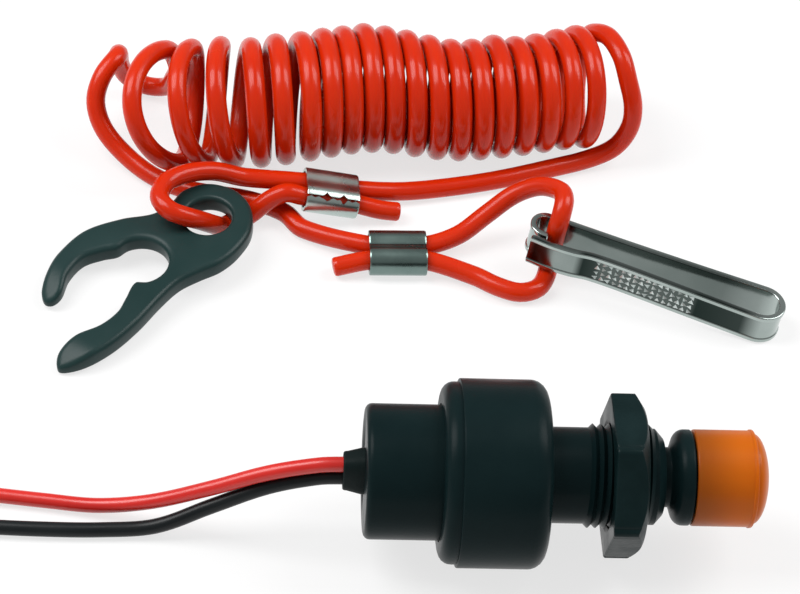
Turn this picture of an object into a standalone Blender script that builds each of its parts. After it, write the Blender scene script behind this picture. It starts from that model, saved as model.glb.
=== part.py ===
"""Engine kill switch with its coiled lanyard, laid out as a set on one surface.

The switch is a panel-mount plunger switch: a rear housing, a collar with a threaded neck, a
mounting nut, a sprung plunger with a grooved spool and an orange cap, and two short leads.
The lanyard is a curly cord with a fork clip at one end and a snap hook at the other.
Lengths are in millimetres, and MM turns them into metres. The switch lies along +X.
"""

import math

import bmesh
import bpy
from mathutils import Matrix, Vector

MM = 0.001
CLEARANCE = 0.3

# Layout on the surface, from the rear face of the switch to the middle of the whole set
SET_MIDDLE_X = 13.15
SET_MIDDLE_Y = 40.5

# Switch body
COLLAR_RADIUS = 18.85
COLLAR_LENGTH = 21.1
COLLAR_FILLET = 3.4
LIP_DROP = 0.7
LIP_LENGTH = 3.4
LIP_FILLET = 2.4
REAR_RADIUS = 13.5
REAR_LENGTH = 15.0
REAR_FILLET = 1.2
REAR_WALL = 2.5
SKIRT_WALL = 3.0
LEDGE_WIDTH = 1.2
PLUG_DEPTH = 7.4
CHAMBER_RADIUS = 11.5
FRONT_WALL = 3.5

# Neck and thread
NECK_RADIUS = 9.6
NECK_PLAIN = 7.3
THREAD_RADIUS = 10.4
THREAD_PITCH = 1.6
THREAD_TURNS = 9
NECK_TIP = 1.5
NECK_TIP_RADIUS = 7.6

# Mounting nut
NUT_FLATS = 29.5
NUT_THICKNESS = 6.8
NUT_PLACE = 5.0
NUT_CHAMFER = 2.1
NUT_CHAMFER_SLOPE = 0.75
NUT_TURN = 55.0

# Plunger
PLUNGER_TRAVEL = 5.0
CORE_RADIUS = 6.0
CORE_SEAT = 1.2
GROOVE_WIDTH = 2.1
GROOVE_FLARE = 1.2
GROOVE_BEVEL = 0.6
SPOOL_RADIUS = 9.6
SPOOL_LENGTH = 3.6
SPOOL_SLOPE = 0.5
SPOOL_ROUND = 2.4
SPIGOT_RADIUS = 7.9
SPIGOT_LENGTH = 9.6
STEM_RADIUS = 2.5
STEM_IN_SPOOL = 7.0
STEM_HEAD_LENGTH = 1.6

# Orange cap
CAP_LENGTH = 12.1
CAP_DOME = 3.2
CAP_LIP = 0.25
CAP_LIP_LENGTH = 0.7
CAP_END_WALL = 3.0
CAP_OVERHANG = 0.05
CAP_SHOULDER = 0.5

# Return spring, seals and contacts
SPRING_POCKET_RADIUS = 5.3
SPRING_POCKET_DEPTH = 13.3
SPRING_WIRE_RADIUS = 0.45
SPRING_COIL_RADIUS = 4.3
SPRING_TURNS = 6
SEAL_WIRE_RADIUS = 0.7
STEM_SEAL_INSET = 4.0
CARRIER_SHARE = 0.8
CARRIER_THICKNESS = 2.5
RING_THICKNESS = 0.8
RING_STEP = 0.6
BOARD_THICKNESS = 1.6
BOARD_INSET = 4.0
CONTACT_SHARE = 0.62
PIN_RADIUS = 1.4
PIN_HEAD_LENGTH = 1.2
PIN_HEAD_STEP = 0.3
PIN_TAIL = 4.0

# Wire boot and leads
BOOT_REACH = 4.2
BOOT_HEIGHT = 10.2
BOOT_WIDTH = 6.6
BOOT_TAPER = 0.84
BOOT_FLANGE = 1.4
BOOT_FLANGE_GROWTH = 1.22
WIRE_RADIUS = 1.55
WIRE_SPREAD = 1.85
WIRE_LIFT = 0.1
BULLET_RADIUS = 2.1
BULLET_LENGTH = 13.0

# Lanyard cord and coil
CORD_RADIUS = 2.15
CORD_CLEARANCE = 0.25
CORD_LIE = CORD_RADIUS + 0.1
COIL_RADIUS = 15.0
COIL_LEFT = (-46.0, 110.2)
COIL_RIGHT = (58.0, 121.2)

# Ferrules, each pressed over two strands side by side
FERRULE_WALL = 0.9
STRAND_GAP = 0.4
FERRULE_WAIST = 0.7
BORE_WAIST_SHARE = 0.4
CLIP_FERRULE_LENGTH = 12.0
CLIP_FERRULE_PLACE = (-5.2, 94.4, 5.5)
CLIP_FERRULE_TURN = 3.0
CLIP_FERRULE_TILT = 12.0
HOOK_FERRULE_LENGTH = 12.6
HOOK_FERRULE_PLACE = (9.6, 78.0)
HOOK_FERRULE_TURN = 1.5

# Fork clip
CLIP_THICKNESS = 4.6
CLIP_EDGE = 0.9
SLOT_RADIUS = CORE_RADIUS + CLEARANCE
CLIP_PLACE = (-45.7, 69.8)
CLIP_TURN = 42.3
CLIP_TILT = 5.0
EYE_RADIUS = 5.2
EYE_CENTRE = (19.0, 0.4)
LONG_TIP = -31.2
SHORT_TIP = -21.2
TIP_TAPER = 8.0
TIP_HEIGHT = 0.45
OUTLINE_STEP = 2.3

# Snap hook, a folded strip on edge
STRIP_THICKNESS = 1.4
STRIP_WIDTH = 7.6
STRIP_EDGE = 0.35
HOOK_LENGTH = 58.0
HOOK_PLACE = (38.0, 78.6)
HOOK_TURN = -19.6
HOOK_TILT = 6.0
STRIP_STEP = 1.9
LEG_SHARES = (0.38, 0.66)
BACK_LEG = 3.6
FRONT_LEG = 4.3
LIP_BEND = 2.9
FAR_BEND = 4.4
HOOK_PASS = 7.2

# Places along the switch axis, worked out from the sizes above
COLLAR_REAR = REAR_LENGTH
COLLAR_FRONT = COLLAR_REAR + COLLAR_LENGTH
PLUG_FRONT = COLLAR_REAR + PLUG_DEPTH
CAVITY_RADIUS = REAR_RADIUS - SKIRT_WALL
CONTACT_SPREAD = CAVITY_RADIUS * CONTACT_SHARE
CARRIER_RADIUS = CAVITY_RADIUS * CARRIER_SHARE
RING_RADIUS = CARRIER_RADIUS - RING_STEP
PIN_HEAD_RADIUS = PIN_RADIUS + CLEARANCE + PIN_HEAD_STEP
STEM_HEAD_RADIUS = CONTACT_SPREAD - PIN_HEAD_RADIUS - CLEARANCE
WALL_REAR = COLLAR_FRONT - FRONT_WALL
THREAD_START = COLLAR_FRONT + NECK_PLAIN
THREAD_END = THREAD_START + THREAD_TURNS * THREAD_PITCH
NECK_FRONT = THREAD_END + NECK_TIP
POCKET_FRONT = WALL_REAR + SPRING_POCKET_DEPTH
CORE_REAR = NECK_FRONT - PLUNGER_TRAVEL - CORE_SEAT
BORE_STEP = CORE_REAR - CLEARANCE
GROOVE_FRONT = NECK_FRONT + GROOVE_WIDTH
SPOOL_FRONT = GROOVE_FRONT + SPOOL_LENGTH
SPIGOT_FRONT = SPOOL_FRONT + SPIGOT_LENGTH
BOARD_REAR = PLUG_FRONT - BOARD_INSET
BOARD_FRONT = BOARD_REAR + BOARD_THICKNESS
PIN_FRONT = BOARD_FRONT + CLEARANCE + PIN_HEAD_LENGTH
RING_REAR = PIN_FRONT + CLEARANCE
CARRIER_REAR = RING_REAR + RING_THICKNESS + CLEARANCE
CARRIER_FRONT = CARRIER_REAR + CARRIER_THICKNESS
STEM_REAR = CARRIER_REAR - CLEARANCE - STEM_HEAD_LENGTH
STEM_FRONT = CORE_REAR + STEM_IN_SPOOL - CLEARANCE
THREAD_BORE = THREAD_RADIUS + CLEARANCE
FERRULE_BORE = CORD_RADIUS + CLEARANCE
STRAND_OFFSET = CORD_RADIUS + STRAND_GAP / 2
FERRULE_RADIUS = FERRULE_BORE + FERRULE_WALL


def material(name, colour, roughness, metallic=0.0):
    """One plain finish for a sub-part."""
    finish = bpy.data.materials.new(name)
    finish.use_nodes = True
    shader = finish.node_tree.nodes["Principled BSDF"]
    shader.inputs["Base Color"].default_value = (*colour, 1.0)
    shader.inputs["Roughness"].default_value = roughness
    shader.inputs["Metallic"].default_value = metallic
    return finish


def add_object(name, mesh, finish, parent=None, smooth_angle=35.0):
    """Put a mesh in the scene as one named sub-part."""
    mesh.materials.clear()
    mesh.materials.append(finish)
    mesh.shade_smooth()
    mesh.set_sharp_from_angle(angle=math.radians(smooth_angle))
    piece = bpy.data.objects.new(name, mesh)
    bpy.context.collection.objects.link(piece)
    piece.parent = parent
    return piece


def finish_mesh(name, shape):
    """Turn a working mesh into mesh data, with every face pointing out."""
    bmesh.ops.remove_doubles(shape, verts=shape.verts, dist=1e-7)
    bmesh.ops.recalc_face_normals(shape, faces=shape.faces)
    mesh = bpy.data.meshes.new(name)
    shape.to_mesh(mesh)
    shape.free()
    return mesh


def filleted(profile, steps=4):
    """A closed profile of (x, r) or (x, r, fillet) corners, with the fillets as arcs."""
    points = []
    count = len(profile)
    for index, corner in enumerate(profile):
        here = Vector(corner[:2])
        if len(corner) == 2:
            points.append(here)
            continue
        before = Vector(profile[index - 1][:2]) - here
        after = Vector(profile[(index + 1) % count][:2]) - here
        half_angle = before.angle(after) / 2
        reach = corner[2] / math.tan(half_angle)
        middle = here + (before.normalized() + after.normalized()).normalized() * (
            corner[2] / math.sin(half_angle)
        )
        start = here + before.normalized() * reach - middle
        end = here + after.normalized() * reach - middle
        for step in range(steps + 1):
            share = step / steps
            spoke = start.lerp(end, share).normalized() * corner[2]
            points.append(middle + spoke)
    return points


def revolved(name, profile, segments=48):
    """Spin a closed profile of (x, r) points about the X axis."""
    shape = bmesh.new()
    ring = [shape.verts.new((p[0] * MM, 0.0, p[1] * MM)) for p in profile]
    edges = []
    for index in range(len(ring)):
        following = (index + 1) % len(ring)
        if profile[index][1] == 0 and profile[following][1] == 0:
            continue
        edges.append(shape.edges.new((ring[index], ring[following])))
    bmesh.ops.spin(
        shape,
        geom=ring + edges,
        cent=(0, 0, 0),
        axis=(1, 0, 0),
        angle=math.tau,
        steps=segments,
        use_merge=True,
    )
    return finish_mesh(name, shape)


def cut(piece, cutter, operation="DIFFERENCE"):
    """Cut a piece with another object, which is then only a guide."""
    cutter.hide_render = True
    cutter.display_type = "WIRE"
    modifier = piece.modifiers.new("cut", "BOOLEAN")
    modifier.operation = operation
    modifier.object = cutter
    modifier.solver = "EXACT"


def plate(name, outlines, thickness, edge, edge_steps=2):
    """A flat plate with rounded edges, standing on z = 0; outlines after the first are holes."""
    curve = bpy.data.curves.new(name, "CURVE")
    curve.dimensions = "2D"
    curve.fill_mode = "BOTH"
    curve.extrude = (thickness / 2 - edge) * MM
    curve.bevel_depth = edge * MM
    curve.bevel_resolution = edge_steps
    curve.offset = -edge * MM
    for outline in outlines:
        spline = curve.splines.new("POLY")
        spline.points.add(len(outline) - 1)
        spline.use_cyclic_u = True
        for point, place in zip(spline.points, outline):
            point.co = (place[0] * MM, place[1] * MM, 0.0, 1.0)
    carrier = bpy.data.objects.new(name + "_outline", curve)
    bpy.context.collection.objects.link(carrier)
    bpy.context.view_layer.update()
    shape = bmesh.new()
    shape.from_mesh(carrier.to_mesh())
    carrier.to_mesh_clear()
    bpy.data.objects.remove(carrier)
    bmesh.ops.translate(shape, vec=(0, 0, thickness / 2 * MM), verts=shape.verts)
    return finish_mesh(name, shape)


def spline(points, steps, closed=False):
    """A smooth curve through the given points, with some steps from each to the next."""
    places = [Vector(p) for p in points]
    count = len(places)
    spans = count if closed else count - 1
    line = []
    for index in range(spans):
        if closed:
            a, b, c, d = (places[(index + k) % count] for k in (-1, 0, 1, 2))
        else:
            b, c = places[index], places[index + 1]
            a = places[index - 1] if index else b * 2 - c
            d = places[index + 2] if index + 2 < count else c * 2 - b
        span = (c - b).length
        leave = (c - a) * span / (span + (b - a).length)
        reach = (d - b) * span / (span + (d - c).length)
        for step in range(steps):
            t = step / steps
            line.append(
                b * (2 * t**3 - 3 * t**2 + 1)
                + leave * (t**3 - 2 * t**2 + t)
                + c * (3 * t**2 - 2 * t**3)
                + reach * (t**3 - t**2)
            )
    line.append(places[0] if closed else places[-1])
    return line


def evenly(line, spacing, closed=False):
    """The same curve with its points at an even spacing."""
    travelled = [0.0]
    for before, after in zip(line, line[1:]):
        travelled.append(travelled[-1] + (after - before).length)
    pieces = max(2, round(travelled[-1] / spacing))
    points = []
    index = 0
    for step in range(pieces if closed else pieces + 1):
        target = travelled[-1] * step / pieces
        while index < len(line) - 2 and travelled[index + 1] < target:
            index += 1
        span = travelled[index + 1] - travelled[index]
        share = (target - travelled[index]) / span if span else 0.0
        points.append(line[index].lerp(line[index + 1], min(share, 1.0)))
    return points


def tube(name, points, radius, finish, parent=None, resolution=2):
    """A cord's plain stretch: a round tube along its points, with closed ends."""
    curve = bpy.data.curves.new(name, "CURVE")
    curve.dimensions = "3D"
    curve.bevel_depth = radius * MM
    curve.bevel_resolution = resolution
    curve.use_fill_caps = True
    spline = curve.splines.new("POLY")
    spline.points.add(len(points) - 1)
    for point, place in zip(spline.points, points):
        point.co = (place[0] * MM, place[1] * MM, place[2] * MM, 1.0)
    curve.materials.append(finish)
    piece = bpy.data.objects.new(name, curve)
    bpy.context.collection.objects.link(piece)
    piece.parent = parent
    return piece


def arc(centre, radius, start, end, steps):
    """Points on an arc, with angles in degrees."""
    points = []
    for step in range(steps + 1):
        angle = math.radians(start + (end - start) * step / steps)
        points.append(
            (centre[0] + radius * math.cos(angle), centre[1] + radius * math.sin(angle))
        )
    return points


def stadium(half_spacing, radius, steps=8, side_steps=8):
    """The oval round two strands that lie side by side, with points along its straight sides."""
    right = arc((half_spacing, 0), radius, -90, 90, steps)
    left = arc((-half_spacing, 0), radius, 90, 270, steps)
    places = [half_spacing * (1 - 2 * step / side_steps) for step in range(1, side_steps)]
    top = [(place, radius) for place in places]
    bottom = [(-place, -radius) for place in places]
    return right + top + left + bottom


def thickened(line, thickness):
    """The outline of a strip of even thickness along a flat line."""
    left, right = [], []
    for index, place in enumerate(line):
        before = line[max(index - 1, 0)]
        after = line[min(index + 1, len(line) - 1)]
        along = (Vector(after[:2]) - Vector(before[:2])).normalized()
        side = Vector((-along.y, along.x)) * thickness / 2
        left.append(Vector(place[:2]) + side)
        right.append(Vector(place[:2]) - side)
    return left + right[::-1]


# Start from an empty scene
for existing in list(bpy.data.objects):
    bpy.data.objects.remove(existing)

black_plastic = material("black_plastic", (0.012, 0.02, 0.02), 0.32)
black_nut = material("black_nut_plastic", (0.014, 0.022, 0.022), 0.38)
black_rubber = material("black_rubber", (0.012, 0.014, 0.013), 0.55)
clip_plastic = material("clip_plastic", (0.02, 0.035, 0.035), 0.3)
orange_cap = material("orange_cap_plastic", (0.85, 0.26, 0.02), 0.3)
red_cord = material("red_cord_plastic", (0.72, 0.03, 0.005), 0.22)
red_wire_skin = material("red_wire_skin", (0.6, 0.012, 0.006), 0.35)
black_wire_skin = material("black_wire_skin", (0.01, 0.012, 0.012), 0.35)
chrome = material("chromed_steel", (0.72, 0.74, 0.74), 0.12, 1.0)
aluminium = material("grey_aluminium", (0.42, 0.46, 0.46), 0.35, 1.0)
brass = material("brass", (0.72, 0.5, 0.18), 0.3, 1.0)
steel = material("spring_steel", (0.55, 0.56, 0.57), 0.3, 1.0)
board_plastic = material("board_plastic", (0.35, 0.2, 0.08), 0.6)

# The whole set hangs on one empty, so its middle is the origin
set_frame = bpy.data.objects.new("set_frame", None)
set_frame.location = (-SET_MIDDLE_X * MM, -SET_MIDDLE_Y * MM, 0.0)
bpy.context.collection.objects.link(set_frame)
switch_frame = bpy.data.objects.new("switch_frame", None)
switch_frame.location = (0.0, 0.0, COLLAR_RADIUS * MM)
switch_frame.parent = set_frame
bpy.context.collection.objects.link(switch_frame)


def front_housing():
    """Collar and threaded neck, one moulding with a stepped bore for the works."""
    seat = REAR_RADIUS + CLEARANCE
    seal_groove = STEM_RADIUS + CLEARANCE + 2 * SEAL_WIRE_RADIUS + CLEARANCE
    stem_bore = STEM_RADIUS + CLEARANCE
    groove_rear = POCKET_FRONT + STEM_SEAL_INSET - SEAL_WIRE_RADIUS - CLEARANCE
    groove_front = groove_rear + 2 * (SEAL_WIRE_RADIUS + CLEARANCE)
    outside = [
        (COLLAR_REAR, seat),
        (COLLAR_REAR, COLLAR_RADIUS - LIP_DROP, LIP_FILLET),
        (COLLAR_REAR + LIP_LENGTH, COLLAR_RADIUS - LIP_DROP),
        (COLLAR_REAR + LIP_LENGTH, COLLAR_RADIUS),
        (COLLAR_FRONT, COLLAR_RADIUS, COLLAR_FILLET),
        (COLLAR_FRONT, NECK_RADIUS),
        (THREAD_START, NECK_RADIUS),
    ]
    thread = []
    for turn in range(THREAD_TURNS):
        root = THREAD_START + turn * THREAD_PITCH
        thread.append((root + 0.5 * THREAD_PITCH, THREAD_RADIUS))
        thread.append((root + THREAD_PITCH, NECK_RADIUS))
    inside = [
        (NECK_FRONT, NECK_TIP_RADIUS),
        (NECK_FRONT, CORE_RADIUS + CLEARANCE),
        (BORE_STEP, CORE_RADIUS + CLEARANCE),
        (BORE_STEP, stem_bore),
        (groove_front, stem_bore),
        (groove_front, seal_groove),
        (groove_rear, seal_groove),
        (groove_rear, stem_bore),
        (POCKET_FRONT, stem_bore),
        (POCKET_FRONT, SPRING_POCKET_RADIUS),
        (WALL_REAR, SPRING_POCKET_RADIUS),
        (WALL_REAR, CHAMBER_RADIUS),
        (PLUG_FRONT + CLEARANCE, CHAMBER_RADIUS),
        (PLUG_FRONT + CLEARANCE, seat),
    ]
    mesh = revolved("front_housing", filleted(outside + thread + inside, 3), 40)
    add_object("front_housing", mesh, black_plastic, switch_frame)


def rear_housing():
    """Rear cup: its skirt plugs into the collar, and the boot fills the hole in its wall."""
    groove_middle = COLLAR_REAR + PLUG_DEPTH / 2
    groove_half = SEAL_WIRE_RADIUS + CLEARANCE
    groove_floor = REAR_RADIUS - 2 * SEAL_WIRE_RADIUS - CLEARANCE
    profile = [
        (0.0, 0.0),
        (0.0, REAR_RADIUS, REAR_FILLET),
        (groove_middle - groove_half, REAR_RADIUS),
        (groove_middle - groove_half, groove_floor),
        (groove_middle + groove_half, groove_floor),
        (groove_middle + groove_half, REAR_RADIUS),
        (PLUG_FRONT, REAR_RADIUS),
        (PLUG_FRONT, CAVITY_RADIUS),
        (BOARD_REAR - CLEARANCE, CAVITY_RADIUS),
        (BOARD_REAR - CLEARANCE, CAVITY_RADIUS - LEDGE_WIDTH),
        (REAR_WALL, CAVITY_RADIUS - LEDGE_WIDTH, 1.0),
        (REAR_WALL, 0.0),
    ]
    mesh = revolved("rear_housing", filleted(profile, 3), 40)
    cup = add_object("rear_housing", mesh, black_plastic, switch_frame)
    hole = boot_shape("boot_hole", [(-1.0, 1.0), (REAR_WALL + 1.0, 1.0)], CLEARANCE)
    cutter = add_object("boot_hole_cutter", hole, black_rubber, switch_frame)
    cut(cup, cutter)


def boot_shape(name, stations, growth=0.0):
    """A lofted oval body along X: each station is a place and a share of the full section."""
    shape = bmesh.new()
    loops = []
    for place, share in stations:
        loop = []
        for step in range(28):
            angle = math.tau * step / 28
            across = abs(math.cos(angle)) ** 0.7 * math.copysign(1, math.cos(angle))
            upward = abs(math.sin(angle)) ** 0.7 * math.copysign(1, math.sin(angle))
            y = (BOOT_WIDTH / 2 * share + growth) * across
            z = (BOOT_HEIGHT / 2 * share + growth) * upward
            loop.append(shape.verts.new((place * MM, y * MM, z * MM)))
        loops.append(loop)
    for near, far in zip(loops, loops[1:]):
        for index in range(28):
            following = (index + 1) % 28
            shape.faces.new((near[index], near[following], far[following], far[index]))
    shape.faces.new(loops[0])
    shape.faces.new(loops[-1])
    return finish_mesh(name, shape)


def wire_boot():
    """Rubber strain relief round the two leads, held by a flange inside the wall."""
    flange_rear = REAR_WALL + CLEARANCE
    stations = [
        (-BOOT_REACH, BOOT_TAPER * 0.96),
        (-BOOT_REACH + 0.4, BOOT_TAPER),
        (-0.6, 1.0),
        (flange_rear, 1.0),
        (flange_rear, BOOT_FLANGE_GROWTH),
        (flange_rear + BOOT_FLANGE, BOOT_FLANGE_GROWTH),
    ]
    mesh = boot_shape("wire_boot", stations)
    boot = add_object("wire_boot", mesh, black_rubber, switch_frame)
    length = BOOT_REACH + flange_rear + BOOT_FLANGE + 2.0
    for label, side in (("upper", 1), ("lower", -1)):
        bore = bmesh.new()
        turn = Matrix.Rotation(math.pi / 2, 4, "Y")
        middle = (flange_rear + BOOT_FLANGE - BOOT_REACH) / 2
        place = Matrix.Translation((middle * MM, 0, side * WIRE_SPREAD * MM))
        bmesh.ops.create_cone(
            bore,
            cap_ends=True,
            segments=20,
            radius1=(WIRE_RADIUS + CLEARANCE / 2) * MM,
            radius2=(WIRE_RADIUS + CLEARANCE / 2) * MM,
            depth=length * MM,
            matrix=place @ turn,
        )
        mesh = finish_mesh(label + "_bore", bore)
        cutter = add_object(label + "_bore_cutter", mesh, black_rubber, switch_frame)
        cut(boot, cutter)


def ring_seal(name, place, major):
    """A round-section seal about the switch axis."""
    profile = []
    for step in range(8):
        angle = math.tau * step / 8
        profile.append(
            (place + SEAL_WIRE_RADIUS * math.cos(angle), major + SEAL_WIRE_RADIUS * math.sin(angle))
        )
    add_object(name, revolved(name, profile, 28), black_rubber, switch_frame, 60)


def mounting_nut():
    """Hexagonal panel nut: a chamfered ring crossed with a six-sided bar."""
    start = THREAD_START + NUT_PLACE
    corner = NUT_FLATS / math.sqrt(3)
    profile = [
        (start, THREAD_BORE),
        (start, corner + 1.0),
        (start + NUT_THICKNESS - (NUT_CHAMFER + 1.0) * NUT_CHAMFER_SLOPE, corner + 1.0),
        (start + NUT_THICKNESS, corner - NUT_CHAMFER),
        (start + NUT_THICKNESS, THREAD_BORE),
    ]
    nut = add_object("mounting_nut", revolved("mounting_nut", profile, 60), black_nut, switch_frame)
    bar = bmesh.new()
    turn = Matrix.Rotation(math.pi / 2, 4, "Y")
    twist = Matrix.Rotation(math.radians(NUT_TURN), 4, "Z")
    bmesh.ops.create_cone(
        bar,
        cap_ends=True,
        segments=6,
        radius1=corner * MM,
        radius2=corner * MM,
        depth=4 * NUT_THICKNESS * MM,
        matrix=Matrix.Translation((start * MM, 0, 0)) @ turn @ twist,
    )
    cutter = add_object("nut_bar", finish_mesh("nut_bar", bar), black_nut, switch_frame)
    cut(nut, cutter, "INTERSECT")


def plunger_spool():
    """Grooved head of the plunger: the fork clip sits in the groove when it is pulled out."""
    hole = STEM_RADIUS + CLEARANCE
    profile = [
        (CORE_REAR, hole),
        (CORE_REAR, CORE_RADIUS, 0.4),
        (GROOVE_FRONT - GROOVE_BEVEL, CORE_RADIUS),
        (GROOVE_FRONT, CORE_RADIUS + GROOVE_FLARE),
        (GROOVE_FRONT + SPOOL_SLOPE, SPOOL_RADIUS, SPOOL_ROUND),
        (SPOOL_FRONT, SPOOL_RADIUS),
        (SPOOL_FRONT, SPIGOT_RADIUS),
        (SPIGOT_FRONT, SPIGOT_RADIUS, 0.8),
        (SPIGOT_FRONT, 0.0),
        (CORE_REAR + STEM_IN_SPOOL, 0.0),
        (CORE_REAR + STEM_IN_SPOOL, hole),
    ]
    mesh = revolved("plunger_spool", filleted(profile, 3), 36)
    add_object("plunger_spool", mesh, black_plastic, switch_frame)


def end_cap():
    """Orange cap pushed over the spigot, with a small rim and a domed end."""
    rear = SPOOL_FRONT + CLEARANCE
    bore = SPIGOT_RADIUS + CLEARANCE
    lip_rear = rear + CAP_LENGTH - CAP_LIP_LENGTH
    end = rear + CAP_LENGTH
    floor = end + CAP_DOME - CAP_END_WALL
    profile = [
        (rear, bore),
        (rear, SPOOL_RADIUS + CAP_OVERHANG),
        (lip_rear, SPOOL_RADIUS + CAP_OVERHANG),
        (lip_rear + CAP_LIP, SPOOL_RADIUS + CAP_LIP),
        (end, SPOOL_RADIUS + CAP_LIP, 0.35),
    ]
    dome_steps = 6
    for step in range(1, dome_steps):
        share = step / dome_steps
        radius = (SPOOL_RADIUS - CAP_SHOULDER) * math.cos(share * math.pi / 2)
        profile.append((end + CAP_DOME * math.sin(share * math.pi / 2), radius))
    profile += [(end + CAP_DOME, 0.0), (floor, 0.0), (floor, bore, 0.8)]
    add_object("end_cap", revolved("end_cap", filleted(profile, 2), 36), orange_cap, switch_frame)


def plunger_stem():
    """Metal stem from the contact carrier to the spool, with a riveted head."""
    profile = [
        (STEM_REAR, 0.0),
        (STEM_REAR, STEM_HEAD_RADIUS, 0.3),
        (STEM_REAR + STEM_HEAD_LENGTH, STEM_HEAD_RADIUS),
        (STEM_REAR + STEM_HEAD_LENGTH, STEM_RADIUS),
        (STEM_FRONT, STEM_RADIUS, 0.3),
        (STEM_FRONT, 0.0),
    ]
    add_object("plunger_stem", revolved("plunger_stem", filleted(profile, 2), 20), steel, switch_frame)


def washer(name, rear, front, inner, outer, finish, segments=32):
    """A flat ring about the switch axis."""
    profile = [(rear, inner), (rear, outer), (front, outer), (front, inner)]
    return add_object(name, revolved(name, profile, segments), finish, switch_frame)


def return_spring():
    """Compression spring from the pocket's end to the carrier; it pulls the plunger in."""
    rear = CARRIER_FRONT + CLEARANCE + SPRING_WIRE_RADIUS
    front = POCKET_FRONT - CLEARANCE - SPRING_WIRE_RADIUS
    count = SPRING_TURNS * 11
    points = []
    for step in range(count + 1):
        angle = math.tau * SPRING_TURNS * step / count
        points.append(
            (
                rear + (front - rear) * step / count,
                SPRING_COIL_RADIUS * math.cos(angle),
                SPRING_COIL_RADIUS * math.sin(angle),
            )
        )
    tube("return_spring", points, SPRING_WIRE_RADIUS, steel, switch_frame, 1)


def terminal_board():
    """Insulating disc on the cup's ledge, which carries the two fixed contacts."""
    edge = CAVITY_RADIUS - CLEARANCE
    board = washer("terminal_board", BOARD_REAR, BOARD_FRONT, STEM_HEAD_RADIUS, edge, board_plastic)
    for label, side in (("red", 1), ("black", -1)):
        hole = bmesh.new()
        turn = Matrix.Rotation(math.pi / 2, 4, "Y")
        place = Matrix.Translation((BOARD_REAR * MM, 0, side * CONTACT_SPREAD * MM))
        bmesh.ops.create_cone(
            hole,
            cap_ends=True,
            segments=20,
            radius1=(PIN_RADIUS + CLEARANCE) * MM,
            radius2=(PIN_RADIUS + CLEARANCE) * MM,
            depth=4 * BOARD_THICKNESS * MM,
            matrix=place @ turn,
        )
        mesh = finish_mesh(label + "_pin_hole", hole)
        cutter = add_object(label + "_pin_hole_cutter", mesh, board_plastic, switch_frame)
        cut(board, cutter)


def fixed_contact(name, side):
    """Brass pin: a domed head faces the moving ring, and its tail takes the wire."""
    rear = BOARD_REAR - PIN_TAIL
    profile = [
        (rear, 0.0),
        (rear, PIN_RADIUS),
        (BOARD_FRONT + CLEARANCE, PIN_RADIUS),
        (BOARD_FRONT + CLEARANCE, PIN_HEAD_RADIUS),
        (PIN_FRONT, PIN_HEAD_RADIUS, 0.4),
        (PIN_FRONT, 0.0),
    ]
    mesh = revolved(name, filleted(profile, 2), 16)
    mesh.transform(Matrix.Translation((0, 0, side * CONTACT_SPREAD * MM)))
    add_object(name, mesh, brass, switch_frame)


def lead(name, side, finish):
    """One wire, from its pin out through the boot and down to the surface."""
    floor = WIRE_RADIUS + WIRE_LIFT - COLLAR_RADIUS
    spread = side * WIRE_SPREAD
    pin_tail = BOARD_REAR - PIN_TAIL - 2 * CLEARANCE
    route = [
        (pin_tail, 0.0, side * CONTACT_SPREAD),
        (pin_tail - 3.0, 0.0, side * CONTACT_SPREAD),
        (REAR_WALL + 5.0, 0.0, spread * 1.15),
        (REAR_WALL + 1.0, 0.0, spread),
        (-BOOT_REACH, 0.0, spread),
        (-BOOT_REACH - 5.0, 0.0, spread - 0.4),
    ]
    if side > 0:
        route += [
            (-19.0, 0.2, -1.4),
            (-30.0, 0.9, -7.0),
            (-42.0, 2.4, -13.2),
            (-53.0, 4.0, floor + 0.6),
            (-64.0, 5.6, floor),
            (-76.0, 7.0, floor),
            (-90.0, 8.0, floor),
        ]
    else:
        route += [
            (-19.0, -0.3, -5.0),
            (-30.0, -0.8, -10.6),
            (-41.0, -1.4, floor + 0.9),
            (-52.0, -1.9, floor),
            (-64.0, -2.0, floor),
            (-76.0, -1.6, floor),
            (-88.0, -1.0, floor),
        ]
    line = spline(route, 2)
    tube(name, line, WIRE_RADIUS, finish, switch_frame, 2)
    return line


def bullet(name, line):
    """Crimped brass bullet terminal on the far end of a lead."""
    end, before = line[-1], line[-2]
    along = (end - before).normalized()
    shape_profile = [
        (0.0, 0.0),
        (0.0, BULLET_RADIUS, 0.3),
        (0.42 * BULLET_LENGTH, BULLET_RADIUS),
        (0.5 * BULLET_LENGTH, 0.62 * BULLET_RADIUS),
        (0.6 * BULLET_LENGTH, 0.62 * BULLET_RADIUS),
        (0.66 * BULLET_LENGTH, 0.95 * BULLET_RADIUS),
        (0.9 * BULLET_LENGTH, 0.95 * BULLET_RADIUS, 0.5),
        (BULLET_LENGTH, 0.35 * BULLET_RADIUS),
        (BULLET_LENGTH, 0.0),
    ]
    mesh = revolved(name, filleted(shape_profile, 2), 16)
    lift = Vector((0, 0, BULLET_RADIUS - WIRE_RADIUS))
    start = end + along * CLEARANCE + lift
    turn = Vector((1, 0, 0)).rotation_difference(Vector((along.x, along.y, 0)).normalized())
    mesh.transform(Matrix.Translation(start * MM) @ turn.to_matrix().to_4x4())
    add_object(name, mesh, brass, switch_frame)


def coil_cord():
    """The coiled middle of the lanyard, as one plain body of its outer diameter."""
    left, right = Vector(COIL_LEFT), Vector(COIL_RIGHT)
    points = []
    for step in range(5):
        place = left.lerp(right, step / 4)
        points.append((place.x, place.y, COIL_RADIUS))
    return tube("coil_cord", points, COIL_RADIUS, red_cord, set_frame, 4)


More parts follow.
